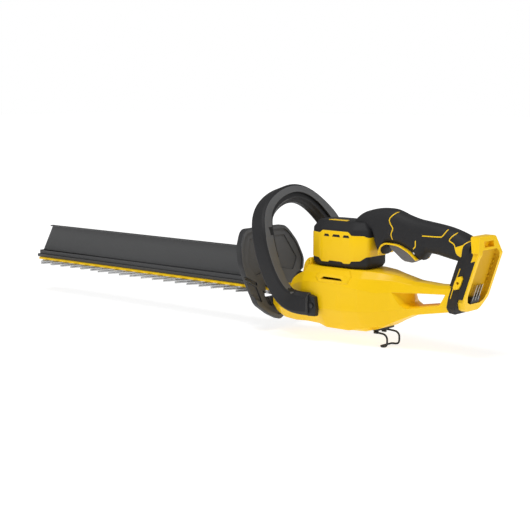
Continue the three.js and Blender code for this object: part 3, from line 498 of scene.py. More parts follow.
finishes = {
    "yellow": {"colour": (0.95, 0.60, 0.004), "second": (0.92, 0.565, 0.003), "rough": (0.30, 0.42),
               "grain": 1500.0, "bump": 0.12, "edgeColour": (1.0, 0.78, 0.2), "edge": 0.4, "dust": 0.005,
               "specular": 0.22},
    # a darker yellow used as painted shade inside the battery seat's pocket
    "yellowPaintedShade": {"colour": (0.66, 0.37, 0.004), "second": (0.58, 0.32, 0.003), "rough": (0.45, 0.6),
                   "grain": 1200.0, "bump": 0.2, "edgeColour": (0.8, 0.5, 0.02), "edge": 0.2, "dust": 0.01,
                   "specular": 0.2},
    "overmould": {"colour": (0.014, 0.014, 0.0155), "second": (0.019, 0.019, 0.0205), "rough": (0.52, 0.68),
                  "grain": 1300.0, "bump": 0.45, "edgeColour": (0.06, 0.06, 0.064), "edge": 0.4,
                  "dust": 0.015, "specular": 0.26},
    "graphite": {"colour": (0.024, 0.0245, 0.026), "second": (0.031, 0.0315, 0.033), "rough": (0.40, 0.52),
                 "grain": 1100.0, "bump": 0.35, "edgeColour": (0.11, 0.11, 0.115), "edge": 0.5, "dust": 0.015,
                 "specular": 0.34},
    # a lighter grey used as painted sheen on faces that look to the rear
    "rearPaintedSheen": {"colour": (0.088, 0.089, 0.091), "second": (0.10, 0.101, 0.103), "rough": (0.44, 0.56),
                 "grain": 1100.0, "bump": 0.35, "edgeColour": (0.16, 0.16, 0.165), "edge": 0.5, "dust": 0.01,
                 "specular": 0.4},
    "darkSteel": {"colour": (0.035, 0.035, 0.037), "second": (0.05, 0.05, 0.052), "rough": (0.35, 0.5),
                  "grain": 500.0, "bump": 0.15, "edgeColour": (0.12, 0.12, 0.125), "edge": 0.5, "metal": 0.6},
    "panel": {"colour": (0.052, 0.053, 0.055), "second": (0.064, 0.065, 0.067), "rough": (0.42, 0.58),
              "grain": 800.0, "bump": 0.3, "edgeColour": (0.13, 0.13, 0.14), "edge": 0.3, "dust": 0.03,
              "metal": 0.15},
    "blackPlastic": {"colour": (0.013, 0.013, 0.014), "second": (0.019, 0.019, 0.02), "rough": (0.38, 0.5),
                     "grain": 1400.0, "bump": 0.2, "edgeColour": (0.05, 0.05, 0.052), "edge": 0.4,
                     "dust": 0.01, "specular": 0.3},
    "triggerGrey": {"colour": (0.12, 0.12, 0.13), "second": (0.15, 0.15, 0.16), "rough": (0.42, 0.55),
                    "grain": 1200.0, "bump": 0.25, "edgeColour": (0.3, 0.3, 0.31), "edge": 0.4},
    "steel": {"colour": (0.48, 0.485, 0.49), "second": (0.60, 0.60, 0.60), "rough": (0.28, 0.46),
              "grain": 420.0, "bump": 0.22, "edgeColour": (0.85, 0.85, 0.86), "edge": 0.7, "metal": 1.0},
    "contact": {"colour": (0.62, 0.60, 0.55), "second": (0.54, 0.52, 0.47), "rough": (0.22, 0.4),
                "grain": 500.0, "bump": 0.1, "edgeColour": (0.9, 0.8, 0.6), "edge": 0.5, "metal": 1.0},
    "board": {"colour": (0.010, 0.07, 0.03), "second": (0.015, 0.10, 0.04), "rough": (0.2, 0.35),
              "grain": 300.0, "bump": 0.2, "edgeColour": (0.4, 0.35, 0.15), "edge": 0.5},
}
materials = {name: makeFinish(name, look) for name, look in finishes.items()}
print("materials made:", len(materials))

addCamera()


# stage
def addArea(name, place, size, power, aim):
    data = bpy.data.lights.new(name, "AREA")
    data.shape = "RECTANGLE"
    data.size, data.size_y = size
    data.energy = power
    lamp = bpy.data.objects.new(name, data)
    lamp.location = place
    lamp.rotation_euler = (Vector(aim) - Vector(place)).to_track_quat("-Z", "Y").to_euler()
    bpy.context.scene.collection.objects.link(lamp)


stageLook = {
    "floor": (0.5, 0.5, 0.5), "glow": (0.74, 1.0), "glowReach": (0.5, 2.6),
    "air": 0.3, "backdrop": 1.0, "reach": 14.0,
}
# place, size, power and aim
lamps = {
    "keyLight": ((0.4, -0.9, 2.2), (0.9, 0.8), 29, (0.1, 0, 0.1)),
    "sideLight": ((-1.6, -1.6, 1.2), (1.0, 1.0), 7, (0.0, 0, 0.1)),
    "rearLight": ((2.2, 0.5, 0.9), (1.4, 1.0), 9, (0.2, 0, 0.15)),
}


def addStage():
    low = cadLow.z - 0.0005
    reach = stageLook["reach"]
    square = np.array([[-reach, -reach, low], [reach, -reach, low], [reach, reach, low], [-reach, reach,
                                                                                          low]])
    floor = newPiece("floor", square, [[0, 1, 2, 3]])
    paint = bpy.data.materials.new("floorPaint")
    paint.use_nodes = True
    shader = paint.node_tree.nodes["Principled BSDF"]
    shader.inputs["Base Color"].default_value = (*stageLook["floor"], 1)
    shader.inputs["Roughness"].default_value = 0.9
    shader.inputs["Emission Color"].default_value = (1, 1, 1, 1)
    # far from the tool the floor glows to the backdrop's white, and near it a little less, to hold a shadow
    tree = paint.node_tree
    place = nodeIn(tree, "ShaderNodeTexCoord")
    away = nodeIn(tree, "ShaderNodeVectorMath", operation="LENGTH")
    fade = mapRange(tree, stageLook["glowReach"], stageLook["glow"])
    wire(tree, (place, "Object", away, 0), (away, "Value", fade, "Value"),
         (fade, "Result", shader, "Emission Strength"))
    floor.data.materials.append(paint)
    world = bpy.data.worlds.new("air")
    world.use_nodes = True
    tree = world.node_tree
    tree.nodes["Background"].inputs["Color"].default_value = (1, 1, 1, 1)
    # the backdrop that is seen is brighter than the air that lights the tool
    seen = nodeIn(tree, "ShaderNodeLightPath")
    strength = mapRange(tree, after=(stageLook["air"], stageLook["backdrop"]))
    wire(tree, (seen, "Is Camera Ray", strength, "Value"),
         (strength, "Result", tree.nodes["Background"], "Strength"))
    bpy.context.scene.world = world
    for name, lamp in lamps.items():
        addArea(name, *lamp)
    bpy.context.scene.view_settings.view_transform = "Standard"


addStage()
print("stage set")

# blades
for node in ("upper_blade", "lower_blade"):
    softCopy(node, materials["steel"], width=0.35)
softCopy("blade_cover_strip", materials["yellow"], width=0.5)
for count in range(1, 6):
    softCopy(f"blade_bolt_{count}", materials["steel"], width=0.3)
panel = softCopy("clippings_panel", materials["panel"], width=0.5)
# painted shade: the panel's upward faces, on its rib steps and lip, are painted black to draw dark shade
# lines
paintFacing(panel, materials["blackPlastic"], (0, 0, 1), 0.55)
for node in ("guard_screw_left", "guard_screw_right", "clamp_screw_left", "clamp_screw_right"):
    softCopy(node, materials["darkSteel"], width=0.4)
print("blades made")

# guard
guardShape = {
    "outline": [(0, -50), (26, -38), (54, -19), (66, 8), (78, 34), (82, 52), (75, 80), (60, 102), (50, 109)],
    "half": 6, "rim": 1.6, "leanLow": 0.13, "leanHigh": 0.33, "bend": 45, "x": 12,
    "field": [(0, -42), (23, -32), (49, -14), (61, 10), (73, 36), (77, 52), (71, 76), (57, 97), (46, 104)],
    "fieldDepth": 2.6,
    "centre": [(-60, 62), (-46, 93), (46, 93), (60, 62), (65, 52), (50, 31), (26, 36), (-26, 36), (-50, 31),
               (-65, 52)], "centreDepth": 2.0,
    "pocket": [(-79, 26), (-50, 12), (-39, -16), (-58, -8)], "pocketDepth": 3.2,
    "lip": [(-83, 35), (-48, 19), (-48, 13), (-77, 27)], "lipDepth": 2.6,
    "well": [(-37, 6), (-26, -3), (-14, -25), (-24, -22)], "wellDepth": 3.0,
    "channel": (28, -8.3, 15.3), "channelReach": 30, "rounding": 7, "past": 6,
}


# an outline from its right half: the same points again at minus their first value
def mirrorHalf(half):
    right = np.asarray(half, float)
    left = right[::-1] * (-1, 1)
    return np.concatenate([right, left[left[:, 0] < 0]])


# the shield leans forward by one slope times its height below the bend, and another above it
def leanGuard(points):
    height = points[:, 2]
    bend = guardShape["bend"]
    lean = np.where(height < bend, guardShape["leanLow"] * height,
                    guardShape["leanLow"] * bend + guardShape["leanHigh"] * (height - bend))
    return np.column_stack([points[:, 0] + guardShape["x"] - lean, points[:, 1], height])


def makeGuard():
    half, rounding, past = guardShape["half"], guardShape["rounding"], guardShape["past"]
    field = mirrorHalf(guardShape["field"])
    guard = plate("guard_shield", mirrorHalf(guardShape["outline"]), -half, half, "x", rounding,
                  guardShape["rim"], 6)

    def press(outline, depth, cuts=3):
        join(guard, plate("cutter", outline, half - depth, half + past, "x", cuts, 0.9, 4))

    press(field, guardShape["fieldDepth"], rounding)
    press(guardShape["centre"], guardShape["fieldDepth"] + guardShape["centreDepth"])
    for side in (1, -1):
        for part in ("pocket", "lip", "well"):
            outline = np.asarray(guardShape[part], float) * (side, 1)
            press(outline, guardShape["fieldDepth"] + guardShape[part + "Depth"], 2)
    join(guard, plate("cutter", field, -half - past, -half + guardShape["fieldDepth"], "x", rounding, 0.9, 5))
    wide, low, high = guardShape["channel"]
    reach = guardShape["channelReach"]
    join(guard, block((-reach, reach), (-wide, wide), (low, high)))

    # the shield needs points to bend at, so it is cut along its bend
    def cutAtBend(shape):
        level = toRow([0, 0, guardShape["bend"]])
        everything = list(shape.verts) + list(shape.edges) + list(shape.faces)
        bmesh.ops.bisect_plane(shape, geom=everything, plane_co=level, plane_no=(0, 0, 1), dist=1e-7)

    reshape(guard, cutAtBend)
    moveVertices(guard, leanGuard)
    finishPiece(guard, materials["graphite"], "guard")
    # painted sheen: the guard's rear-facing faces take the lighter grey
    paintFacing(guard, materials["rearPaintedSheen"], (1, 0, 0))


makeGuard()
print("guard made")

# body
bodyShape = {
    # x, top and its half width, shoulder, side, crease, bottom and its half width
    "rows": [
        (27, 14, 14, 11, 19, 3, 22, -18, -33, 10), (46, 14, 18, 11, 25, 3, 29, -22, -41, 13),
        (68, 15, 20, 12, 28, 4, 33, -20, -42, 16), (74, 25, 22, 20, 33, 10, 38, -14, -42, 18),
        (82, 38, 24, 33, 35, 20, 43, -10, -41, 20), (98, 45, 27, 41, 39, 27, 47, -9, -40, 21),
        (112, 58, 32, 48, 43, 33, 50, -8, -40, 22), (130, 58, 34, 48, 44, 34, 51, -8, -40, 25),
        (150, 58, 36, 48, 45, 34, 52, -8, -43, 32), (195, 58, 36, 47, 45, 33, 52, -8, -43, 32),
        (225, 58, 32, 46, 42, 30, 49, -7, -42, 31), (252, 57, 24, 46, 34, 26, 41, -5, -34, 27),
        (275, 54, 15, 46, 25, 28, 32, -1, -22, 22), (310, 47, 12, 42, 20, 32, 25, 5, -6, 19),
        (350, 45, 11, 41, 18, 33, 22, 11, 1, 17), (384, 47, 11, 43, 18, 36, 21, 16, 7, 16),
    ],
    "cuts": [2, 0.6, 0.8, 1.0, 2, 2, 1.0, 0.8, 0.6, 2], "ease": 1,
    "wall": 2.6, "ringGap": 1.7, "split": 0.15,
    "surround": [(150, 35), (205, 36), (209, 47), (201, 56), (152, 55), (140, 42)], "surroundRise": 1.9,
    "blank": [(185, -2), (222, 1), (224.5, 20), (185, 18)], "blankDepth": 0.6,
    "step": [(190, -60), (330, -60), (330, -14), (262, -29), (197, -31)], "stepDepth": 3.2, "stepFrom": 26,
    "vent": [(152, 40), (196.5, 40), (191, 43.6), (156, 44.2)],
    "hump": [(94, 40), (114.1, 40), (114.1, 69), (107, 69), (99, 60)], "humpHalf": 28, "humpRim": 4,
    "slotMiddle": [(302, 11), (311, 9), (360, 17), (368, 31), (303, 27)],
    "slotMouth": [(288, 9), (301, 1), (363, 13), (376, 36), (274, 29)], "slotReach": 34,
    "channel": (28, -8.3, 11.6), "channelTo": 87, "halves": ((0, 500), (-90, 90)),
}


# one ring for each x: ten corners at the half widths and heights that the eased table gives there,
# then moved along the normals by the relief at (x, z)
def bodySkin(name, inset, endInset, relief):
    rows = np.array(bodyShape["rows"], float)
    rows[0, 0] += endInset
    rows[-1, 0] -= endInset
    count = int((rows[-1, 0] - rows[0, 0]) / bodyShape["ringGap"])
    places = np.linspace(rows[0, 0], rows[-1, 0], count)
    table = np.column_stack([np.interp(places, rows[:, 0], column) for column in rows.T])
    table = evenOut(table, bodyShape["ease"])
    x, top, topHalf, shoulder, shoulderHalf, side, half, crease, bottom, bottomHalf = table.T
    right = np.stack([
        np.stack([bottomHalf - inset, bottom + inset], -1), np.stack([half - inset, crease], -1),
        np.stack([half - inset, side], -1), np.stack([shoulderHalf - inset, shoulder - 0.6 * inset], -1),
        np.stack([topHalf - 0.6 * inset, top - inset], -1)], axis=1)
    grid = wholeRings(x, right, bodyShape["cuts"], 5, 9)
    if relief:
        a, b = grid[..., 0], grid[..., 2]
        out = bodyShape["surroundRise"] * insideOutline(a, b, bodyShape["surround"], 1.6)
        out = out - bodyShape["blankDepth"] * insideOutline(a, b, bodyShape["blank"], 0.9)
        below = np.clip((np.abs(grid[..., 1]) - bodyShape["stepFrom"]) / 3, 0, 1)
        out = out - bodyShape["stepDepth"] * insideOutline(a, b, bodyShape["step"], 2.0) * below
        grid = grid + gridNormals(grid) * out[..., None]
    return skin(name, grid)


# for y from -reach to reach the outline is middle + (mouth - middle) times |y / reach| to the power 1.6
def slotSkin(grow):
    middle = np.asarray(bodyShape["slotMiddle"], float)
    mouth = np.asarray(bodyShape["slotMouth"], float)
    centre = middle.mean(axis=0)
    share = np.abs(np.linspace(-1, 1, 13))
    outline = middle + (mouth - middle) * share[:, None, None] ** 1.6
    away = outline - centre
    outline = roundCorners(outline + unit(away) * grow, 1.5, 4)
    depth = np.linspace(-1, 1, 13) * bodyShape["slotReach"]
    depth = np.broadcast_to(depth[:, None], outline.shape[:2])
    return skin("cutter", np.stack([outline[..., 0], depth, outline[..., 1]], -1))


def makeBody():
    outer = bodySkin("body_outer", 0, 0, True)
    inner = bodySkin("body_inner", bodyShape["wall"], 4, False)
    tunnel = join(slotSkin(3), outer, "INTERSECT", keepOther=True)
    hump = plate("body_hump", bodyShape["hump"], -bodyShape["humpHalf"], bodyShape["humpHalf"], "y", 3,
                 bodyShape["humpRim"], 4)
    body = join(outer, hump, "UNION")
    body = join(body, inner)
    body = join(body, tunnel, "UNION")
    body = join(body, slotSkin(0))
    body = join(body, plate("cutter", bodyShape["vent"], -80, 80, "y", 0.6, 0.1, 3))
    wide, low, high = bodyShape["channel"]
    body = join(body, block((0, bodyShape["channelTo"]), (-wide, wide), (low, high)))
    names = ("body_shell_left", "body_shell_right")
    body, right = halves(body, names, *bodyShape["halves"], bodyShape["split"])
    finishPiece(body, materials["yellow"], "left_body_shell", angle=16)
    finishPiece(right, materials["yellow"], "right_body_shell", angle=16)


makeBody()
print("body shells made")

# motor drum
drumShape = {
    "x": 172, "halfLength": 57.5, "halfWidth": 36, "faceHalf": 25, "sideHalf": 33, "corner": 5,
    "ring": [(84, 3.4), (84, 0.9), (72, 0.9), (66, 0.9), (60, 4.6), (59, 6.2), (59, 9), (62, 9)],
    "cap": [(100, 3.4), (100, 0.9), (110, 0.9), (120.4, 0.9), (122, 1.7), (132.6, 9.2), (134, 11.5)],
    "capWall": 2.4,
    # the band's rings: how far in, their share of the way up, and the heights of its inner rings
    "bandInsets": [0.9, 0.25, 0, 0, 0, 0.25, 0.9, 3.0, 3.0],
    "bandShares": [0, 0.004, 0.02, 0.5, 0.98, 0.996, 1, 0.9, 0.1], "bandInner": (74.5, 112),
    "bandTop": [(0, 113.8), (138, 113.8), (144.5, 118.3), (196, 118.3), (202, 112.6), (222, 112.6),
                (233, 108)],
    "bandLow": [(0, 73), (135.5, 72.4), (142.5, 66.6), (155.5, 66.8), (157.6, 69.2), (183, 68.8), (187, 66.2),
                (199.4, 66.8), (202, 71), (216, 72), (226, 79)],
    "vents": [(146.5, 158.5), (163.5, 180.5), (185, 199)], "ventZ": (108.4, 112.6),
    "badge": [(147, -24), (186, -24), (182, -13), (152, -13)], "badgeZ": (132.5, 134.9),
}


# an eight-cornered ring about the drum's centre, drawn in by each inset, with its corners rounded
def drumRings(insets):
    insets = np.asarray(insets, float)[:, None]
    length = drumShape["halfLength"] - insets
    width = drumShape["halfWidth"] - insets
    face = drumShape["faceHalf"] - insets * 0.4
    side = drumShape["sideHalf"] - insets * 0.4
    signX = np.array([1, 1, -1, -1, -1, -1, 1, 1])
    signY = np.array([1, 1, 1, 1, -1, -1, -1, -1])
    nearSide = np.array([0, 1, 1, 0, 0, 1, 1, 0])
    x = drumShape["x"] + signX * np.where(nearSide, side, length)
    y = signY * np.where(nearSide, width, face)
    return roundCorners(np.stack([x, y], -1), drumShape["corner"], 6, 24)


# the drum's ring carried up a profile of heights and insets
def drumPiece(name, profile, roundTrip):
    profile = np.asarray(profile, float)
    ring = drumRings(profile[:, 1])
    height = np.broadcast_to(profile[:, :1], ring.shape[:2])
    return skin(name, np.concatenate([ring, height[..., None]], -1), roundTrip)


def makeDrum():
    base = drumPiece("drum_base", drumShape["ring"], True)
    finishPiece(base, materials["overmould"], "motor_base_ring", angle=40)
    cap = drumPiece("drum_cap", drumShape["cap"], False)

    def openBelow(shape):
        lowest = min(shape.faces, key=lambda face: face.calc_center_median().z)
        bmesh.ops.delete(shape, geom=[lowest], context="FACES_ONLY")

    reshape(cap, openBelow)
    wall = cap.modifiers.new("wall", "SOLIDIFY")
    wall.thickness = drumShape["capWall"] / 1000
    wall.offset = -1
    settle(cap)
    finishPiece(cap, materials["overmould"], "motor_cap", angle=40)

    share = np.array(drumShape["bandShares"])[:, None]
    ring = drumRings(drumShape["bandInsets"])
    low = np.interp(ring[..., 0], *np.transpose(drumShape["bandLow"]))
    top = np.interp(ring[..., 0], *np.transpose(drumShape["bandTop"]))
    height = low + (top - low) * share
    height[-2:] = np.clip(height[-2:], *drumShape["bandInner"])
    band = skin("drum_band", np.concatenate([ring, height[..., None]], -1), True)
    for x0, x1 in drumShape["vents"]:
        low, high = drumShape["ventZ"]
        outline = [(x0, low), (x1, low), (x1 - 2.2, high), (x0 + 2.2, high)]
        join(band, plate("cutter", outline, -60, 60, "y", 0.7, 0.1, 3))
    finishPiece(band, materials["yellow"], "motor_band", angle=40)


def makeCapBadge():
    outline = roundCorners(drumShape["badge"], 1.0, 3)
    piece = plate("cap_badge", outline, drumShape["badgeZ"][0], drumShape["badgeZ"][1], "z", 0.6, 0.3, 3)
    finishPiece(piece, materials["yellow"], body=bodyOf["motor_cap"])


makeDrum()
makeCapBadge()
print("motor drum made")

# rear handle
handleShape = {
    # x, top, bottom, half width
    "grip": [
        (188, 129, 119, 15), (192, 136, 117, 17.5), (198, 143, 116, 19), (206, 148.6, 116, 19.5),
        (216, 152.5, 116, 19.5), (228, 155.6, 114, 19.5), (233, 156.6, 106, 19.5), (237, 157.2, 92, 19.5),
        (241, 157.6, 84.5, 19.5), (247, 158, 84, 19.5), (251, 158, 92, 19.5), (256, 158, 101, 19.5),
        (265, 157.2, 103, 19.5), (275, 154.6, 102, 19.5), (286, 150.6, 98.5, 19.2), (298, 147, 93.5, 19),
        (308, 144.6, 86.5, 18.8), (315, 143.4, 80, 18.6), (320, 142.8, 80.6, 18.5), (325, 142.2, 87, 18.4),
        (331, 141.4, 92.5, 18.2), (342, 140, 92, 18.4), (358, 137.6, 89.5, 19.2), (372, 134.6, 87, 20.4),
        (386, 130.4, 85, 21.4), (398, 125.6, 84.5, 22.4), (408, 121, 86, 23), (413, 118.6, 88, 22),
    ],
    "gripCuts": [8, 9, 9, 8, 8, 9, 9, 8], "ringGap": 1.3,
    "seatX": 404.3, "lean": 1 / 3, "seatDepth": 12, "front": 359, "postFrom": 6, "postTo": 106,
    # the post closes in at its foot and towards the grip
    "postCuts": [5, 6, 6, 3, 1, 1, 3, 6, 6, 5],
    "squeeze": ([6, 14, 30, 78, 92, 106], [0.80, 0.94, 1, 1, 0.9, 0.72]),
    # the battery frame's room: across and up
    "seatGap": 0.35, "seatReach": 80,
    "seatRooms": [((-31.4, 31.4), (-20, 160)), ((-90, 90), (-20, 31)), ((-90, 90), (103.6, 160))],
    "split": 0.15, "halves": ((100, 600), (-90, 300)),
    "tailRoom": ((300, 384.6), (-21.6, 21.6), (0, 47.6)),
    "triggerRoom": [(252.5, 96), (262, 84), (278, 70), (316, 70), (321, 84), (321, 100), (312, 116), (256,
                                                                                                      124),
                    (251.5, 112)], "triggerHalf": 9,
}


# one ring for each x: eight corners at shares of the half width between the top and the bottom
def gripSkin():
    rows = np.array(handleShape["grip"], float)
    count = int((rows[-1, 0] - rows[0, 0]) / handleShape["ringGap"])
    x, top, bottom, half = easeRows(rows, np.linspace(rows[0, 0], rows[-1, 0], count)).T
    drop = np.minimum((top - bottom) * 0.3, 13)
    right = np.stack([
        np.stack([half * 0.52, bottom], -1), np.stack([half, bottom + drop * 0.75], -1),
        np.stack([half, top - drop], -1), np.stack([half * 0.5, top], -1)], axis=1)
    return skin("handle_grip", wholeRings(x, right, handleShape["gripCuts"], 5, 5))


# one ring for each height: the plan's y times the squeeze, its x moved back by the lean times the height
def postSkin():
    front, rear = handleShape["front"], handleShape["seatX"]
    seatFront = rear - handleShape["seatDepth"]
    right = np.array([(16, front), (22, front + 9), (27, front + 19), (34, seatFront - 1),
                      (34.8, rear - 3.5)])
    height = np.linspace(handleShape["postFrom"], handleShape["postTo"], 60)
    squeeze = np.interp(height, *handleShape["squeeze"])[:, None]
    y = np.concatenate([right[:, 0], -right[::-1, 0]]) * squeeze
    x = np.concatenate([right[:, 1], right[::-1, 1]]) + (height * handleShape["lean"])[:, None]
    ring = roundCorners(np.stack([x, y], -1), handleShape["postCuts"], 5, 3)
    level = np.broadcast_to(height[:, None, None], ring.shape[:2] + (1,))
    return skin("handle_post", np.concatenate([ring, level], -1))


# x moves back by the lean times z
def leanBack(points):
    return points + np.outer(points[:, 2] * handleShape["lean"], (1, 0, 0))


def leanedBlock(x, y, z):
    return moveVertices(block(x, y, z), leanBack)


def makeHandle():
    handle = join(gripSkin(), postSkin(), "UNION")
    seatFront = handleShape["seatX"] - handleShape["seatDepth"] - handleShape["seatGap"]
    for y, z in handleShape["seatRooms"]:
        join(handle, leanedBlock((seatFront, seatFront + handleShape["seatReach"]), y, z))
    join(handle, block(*handleShape["tailRoom"]))
    room = plate("cutter", handleShape["triggerRoom"], -handleShape["triggerHalf"],
                 handleShape["triggerHalf"],
                 "y", 1, 0.2, 3)
    join(handle, room)
    names = ("handle_shell_left", "handle_shell_right")
    handle, right = halves(handle, names, *handleShape["halves"], handleShape["split"])
    finishPiece(handle, materials["overmould"], "left_handle_shell", angle=38)
    finishPiece(right, materials["overmould"], "right_handle_shell", angle=38)
    return handle, right


handleLeft, handleRight = makeHandle()

accentShape = {
    "width": 1.7, "rise": 0.3, "thick": 0.8, "farthest": 45, "startY": 60.0, "count": 48, "patch": (12, 24),
    "wedge": ([(388.6, 108), (391.6, 98), (397.4, 94.6)], [(402.4, 113), (400.4, 103), (397.8, 94.6)]),
    "lines": {
        "crest": [(287, 157), (281, 156.4), (270, 150), (264.5, 141), (267, 135), (271.5, 128), (268.4, 118),
                  (269.6, 110)],
        "palm": [(326, 120.4), (361, 121.6), (369, 133)],
        "thumb": [(314, 112), (314, 104), (310, 98.6)],
        "rest": [(385, 129.4), (376.6, 118), (386, 112), (391.6, 98), (397.4, 94.6), (402, 112), (412,
                                                                                                  120.6)],
        "post": [(400, 77), (394.6, 64), (385, 35), (383.4, 29)],
    },
}


# a grid of (x, z) spots laid on the handle's side from outside, then given its thickness
def layAccent(name, spots, side, target):
    wide, count = spots.shape[:2]
    grid = np.stack([spots[..., 0], np.full(spots.shape[:2], side * accentShape["startY"]), spots[..., 1]],
                    -1)
    row, column = np.meshgrid(np.arange(wide - 1), np.arange(count - 1), indexing="ij")
    corner = row * count + column
    faces = np.stack([corner, corner + 1, corner + count + 1, corner + count], -1).reshape(-1, 4)
    if side > 0:
        faces = faces[:, ::-1]
    strip = newPiece(name, toRow(grid.reshape(-1, 3)), faces.tolist())
    lay = strip.modifiers.new("lay", "SHRINKWRAP")
    lay.target = target
    lay.wrap_method = "PROJECT"
    lay.use_project_y = True
    lay.use_positive_direction = side < 0
    lay.use_negative_direction = side > 0
    lay.offset = accentShape["rise"] / 1000
    settle(strip)

    def dropMissed(shape):
        missed = [vertex for vertex in shape.verts if abs(vertex.co.y) > accentShape["farthest"] / 1000]
        bmesh.ops.delete(shape, geom=missed, context="VERTS")

    reshape(strip, dropMissed)
    thick = strip.modifiers.new("thick", "SOLIDIFY")
    thick.thickness = accentShape["thick"] / 1000
    thick.offset = -1
    settle(strip)
    tidyMesh(strip)
    smooth(strip, 50)
    strip.data.materials.append(materials["yellow"])
    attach(strip, bodyOf["left_handle_shell"])


# each place is a point of the line plus its normal times a share of the width
def accentStrip(name, line, side, target):
    flat = easedLine(line, accentShape["count"])
    ahead = unit(np.gradient(flat, axis=0))
    across = np.column_stack([-ahead[:, 1], ahead[:, 0]])
    share = np.linspace(-0.5, 0.5, 5)[:, None, None] * accentShape["width"]
    spots = flat[None] + across[None] * share
    layAccent(name, spots, side, target)


# a patch between two lines
def accentPatch(name, first, second, side, target):
    wide, count = accentShape["patch"]
    one, two = easedLine(first, count), easedLine(second, count)
    share = np.linspace(0, 1, wide)[:, None, None]
    layAccent(name, one[None] + (two - one)[None] * share, side, target)


for side, word, target in ((-1, "left", handleLeft), (1, "right", handleRight)):
    for name, line in accentShape["lines"].items():
        accentStrip(f"accent_{name}_{word}", line, side, target)
    accentPatch(f"accent_wedge_{word}", *accentShape["wedge"], side, target)

surroundShape = {
    "line": [(244.5, 85), (245.5, 92), (250, 99.5), (258, 103), (275, 102.4), (298, 94.4), (311, 85.4),
             (315.5, 81.6)],
    "width": 2.4, "rim": 0.9, "left": (-20.0, -12.0), "right": (12.0, 20.0),
}
for word in ("left", "right"):
    trim = ribbon(f"trigger_surround_{word}", surroundShape["line"], surroundShape["width"],
                  *surroundShape[word],
                  surroundShape["rim"])
    finishPiece(trim, materials["yellow"], body=bodyOf["left_handle_shell"])
print("handle made")

# battery seat
seatShape = {
    # across and up, as seen from the rear
    "face": [(12, 9), (22, 14), (35, 30), (35, 99), (24, 125), (20, 127)],
    "pocket": [(14, 22), (23, 26), (28.4, 36), (28.4, 94), (21, 107)], "pocketDepth": 9,
    # the side outline: x from the rear plane, z
    "side": [(-12, 10), (0, 10), (0, 100), (-6, 127), (-22, 127), (-12, 100)], "half": 37,
    "seatX": 404.3, "lean": 1 / 3, "straight": 100,
    "cheek": 31.05, "rim": 3.0, "low": 103.3, "room": (380, 480), "shadeFrom": 0.8,
    "latch": (14, 110.5, 119.5), "latchFrom": 426,
    "dashes": (52, 60, 68, 76, 84, 92), "dash": (25.6, 27.6, 4.2), "dashDepth": (9.5, 6),
}


# a point measured from the rear plane, which leans as far as its straight part goes
def seatPoint(x, z):
    return [seatShape["seatX"] + x + min(z, seatShape["straight"]) * seatShape["lean"], z]


# the pocket's own floor and sides, deeper than the frame's rim, get a darker yellow as painted shade
def shadePocket(seat):
    x, y, z = (perFace(seat, "center") * 1000 - toRow((0, 0, 0)) * 1000).T
    rim = seatShape["seatX"] + np.minimum(z, seatShape["straight"]) * seatShape["lean"]
    rim = rim - seatShape["shadeFrom"]
    inside = np.abs(y) < seatShape["pocket"][2][0] + 0.6
    inside &= (z > seatShape["pocket"][0][1] - 1) & (z < seatShape["pocket"][-1][1] + 1)
    inside &= (x < rim) & (x > rim - seatShape["pocketDepth"])
    # painted shade: the pocket's faces take the darker yellow
    paintFaces(seat, materials["yellowPaintedShade"], inside)


def makeSeat():
    side = [seatPoint(x, z) for x, z in seatShape["side"]]
    half, far = seatShape["half"], seatShape["room"][1]
    seat = plate("battery_frame", side, -half, half, "y", 1.2, 0.5, 4)
    join(seat, plate("cutter", mirrorHalf(seatShape["face"]), *seatShape["room"], "x", 2.5, 0.1, 5),
         "INTERSECT")
    x0, x1 = seatShape["seatX"] - 30, seatShape["seatX"] - seatShape["rim"]
    for y in ((seatShape["cheek"], 60), (-60, -seatShape["cheek"])):
        join(seat, leanedBlock((x0, x1), y, (0, seatShape["low"])))
    pocket = plate("cutter", mirrorHalf(seatShape["pocket"]), seatShape["seatX"] - seatShape["pocketDepth"],
                   seatShape["seatX"] + 30, "x", 2.0, 0.4, 4)
    join(seat, moveVertices(pocket, leanBack))
    half, low, high = seatShape["latch"]
    join(seat, block((seatShape["latchFrom"], far), (-half, half), (low, high)))
    y0, y1, tall = seatShape["dash"]
    deep, shallow = seatShape["dashDepth"]
    for sign in (1, -1):
        for z in seatShape["dashes"]:
            y = sorted((sign * y0, sign * y1))
            dash = leanedBlock((seatShape["seatX"] - deep, seatShape["seatX"] - shallow), y, (z, z + tall))
            join(seat, dash, "UNION")
    finishPiece(seat, materials["yellow"], "battery_seat", angle=36)
    shadePocket(seat)


makeSeat()
badgeShape = {
    "at": (402, 56), "from": 27, "to": 35.4, "hole": 2.3, "lean": 1 / 3,
    "outline": [(-6, -8), (-2, -11), (4, -9), (6, -3), (6, 8), (2, 11), (-4, 9), (-6, 3)],
}


def makeBadge(side, node):
    middle = np.array(badgeShape["at"], float)
    outline = np.array(badgeShape["outline"], float)
    outline[:, 0] += outline[:, 1] * badgeShape["lean"]
    low, high = sorted((side * badgeShape["from"], side * badgeShape["to"]))
    piece = plate(node.replace("post_", ""), outline + middle, low, high, "y", 1.2, 0.7, 4)
    turn = np.linspace(0, 2 * math.pi, 24, endpoint=False)
    ring = middle + np.column_stack([np.cos(turn), np.sin(turn)]) * badgeShape["hole"]
    join(piece, plate("cutter", ring, -60, 60, "y", 0.1, 0.05, 3))
    finishPiece(piece, materials["yellow"], node, angle=40)


makeBadge(-1, "post_badge_left")
makeBadge(1, "post_badge_right")
softCopy("terminal_block", materials["blackPlastic"], width=0.4)
for count in range(1, 4):
    softCopy(f"terminal_blade_{count}", materials["contact"], width=0.15)
softCopy("trigger", materials["triggerGrey"], width=1.6, segments=3)
print("battery seat made")

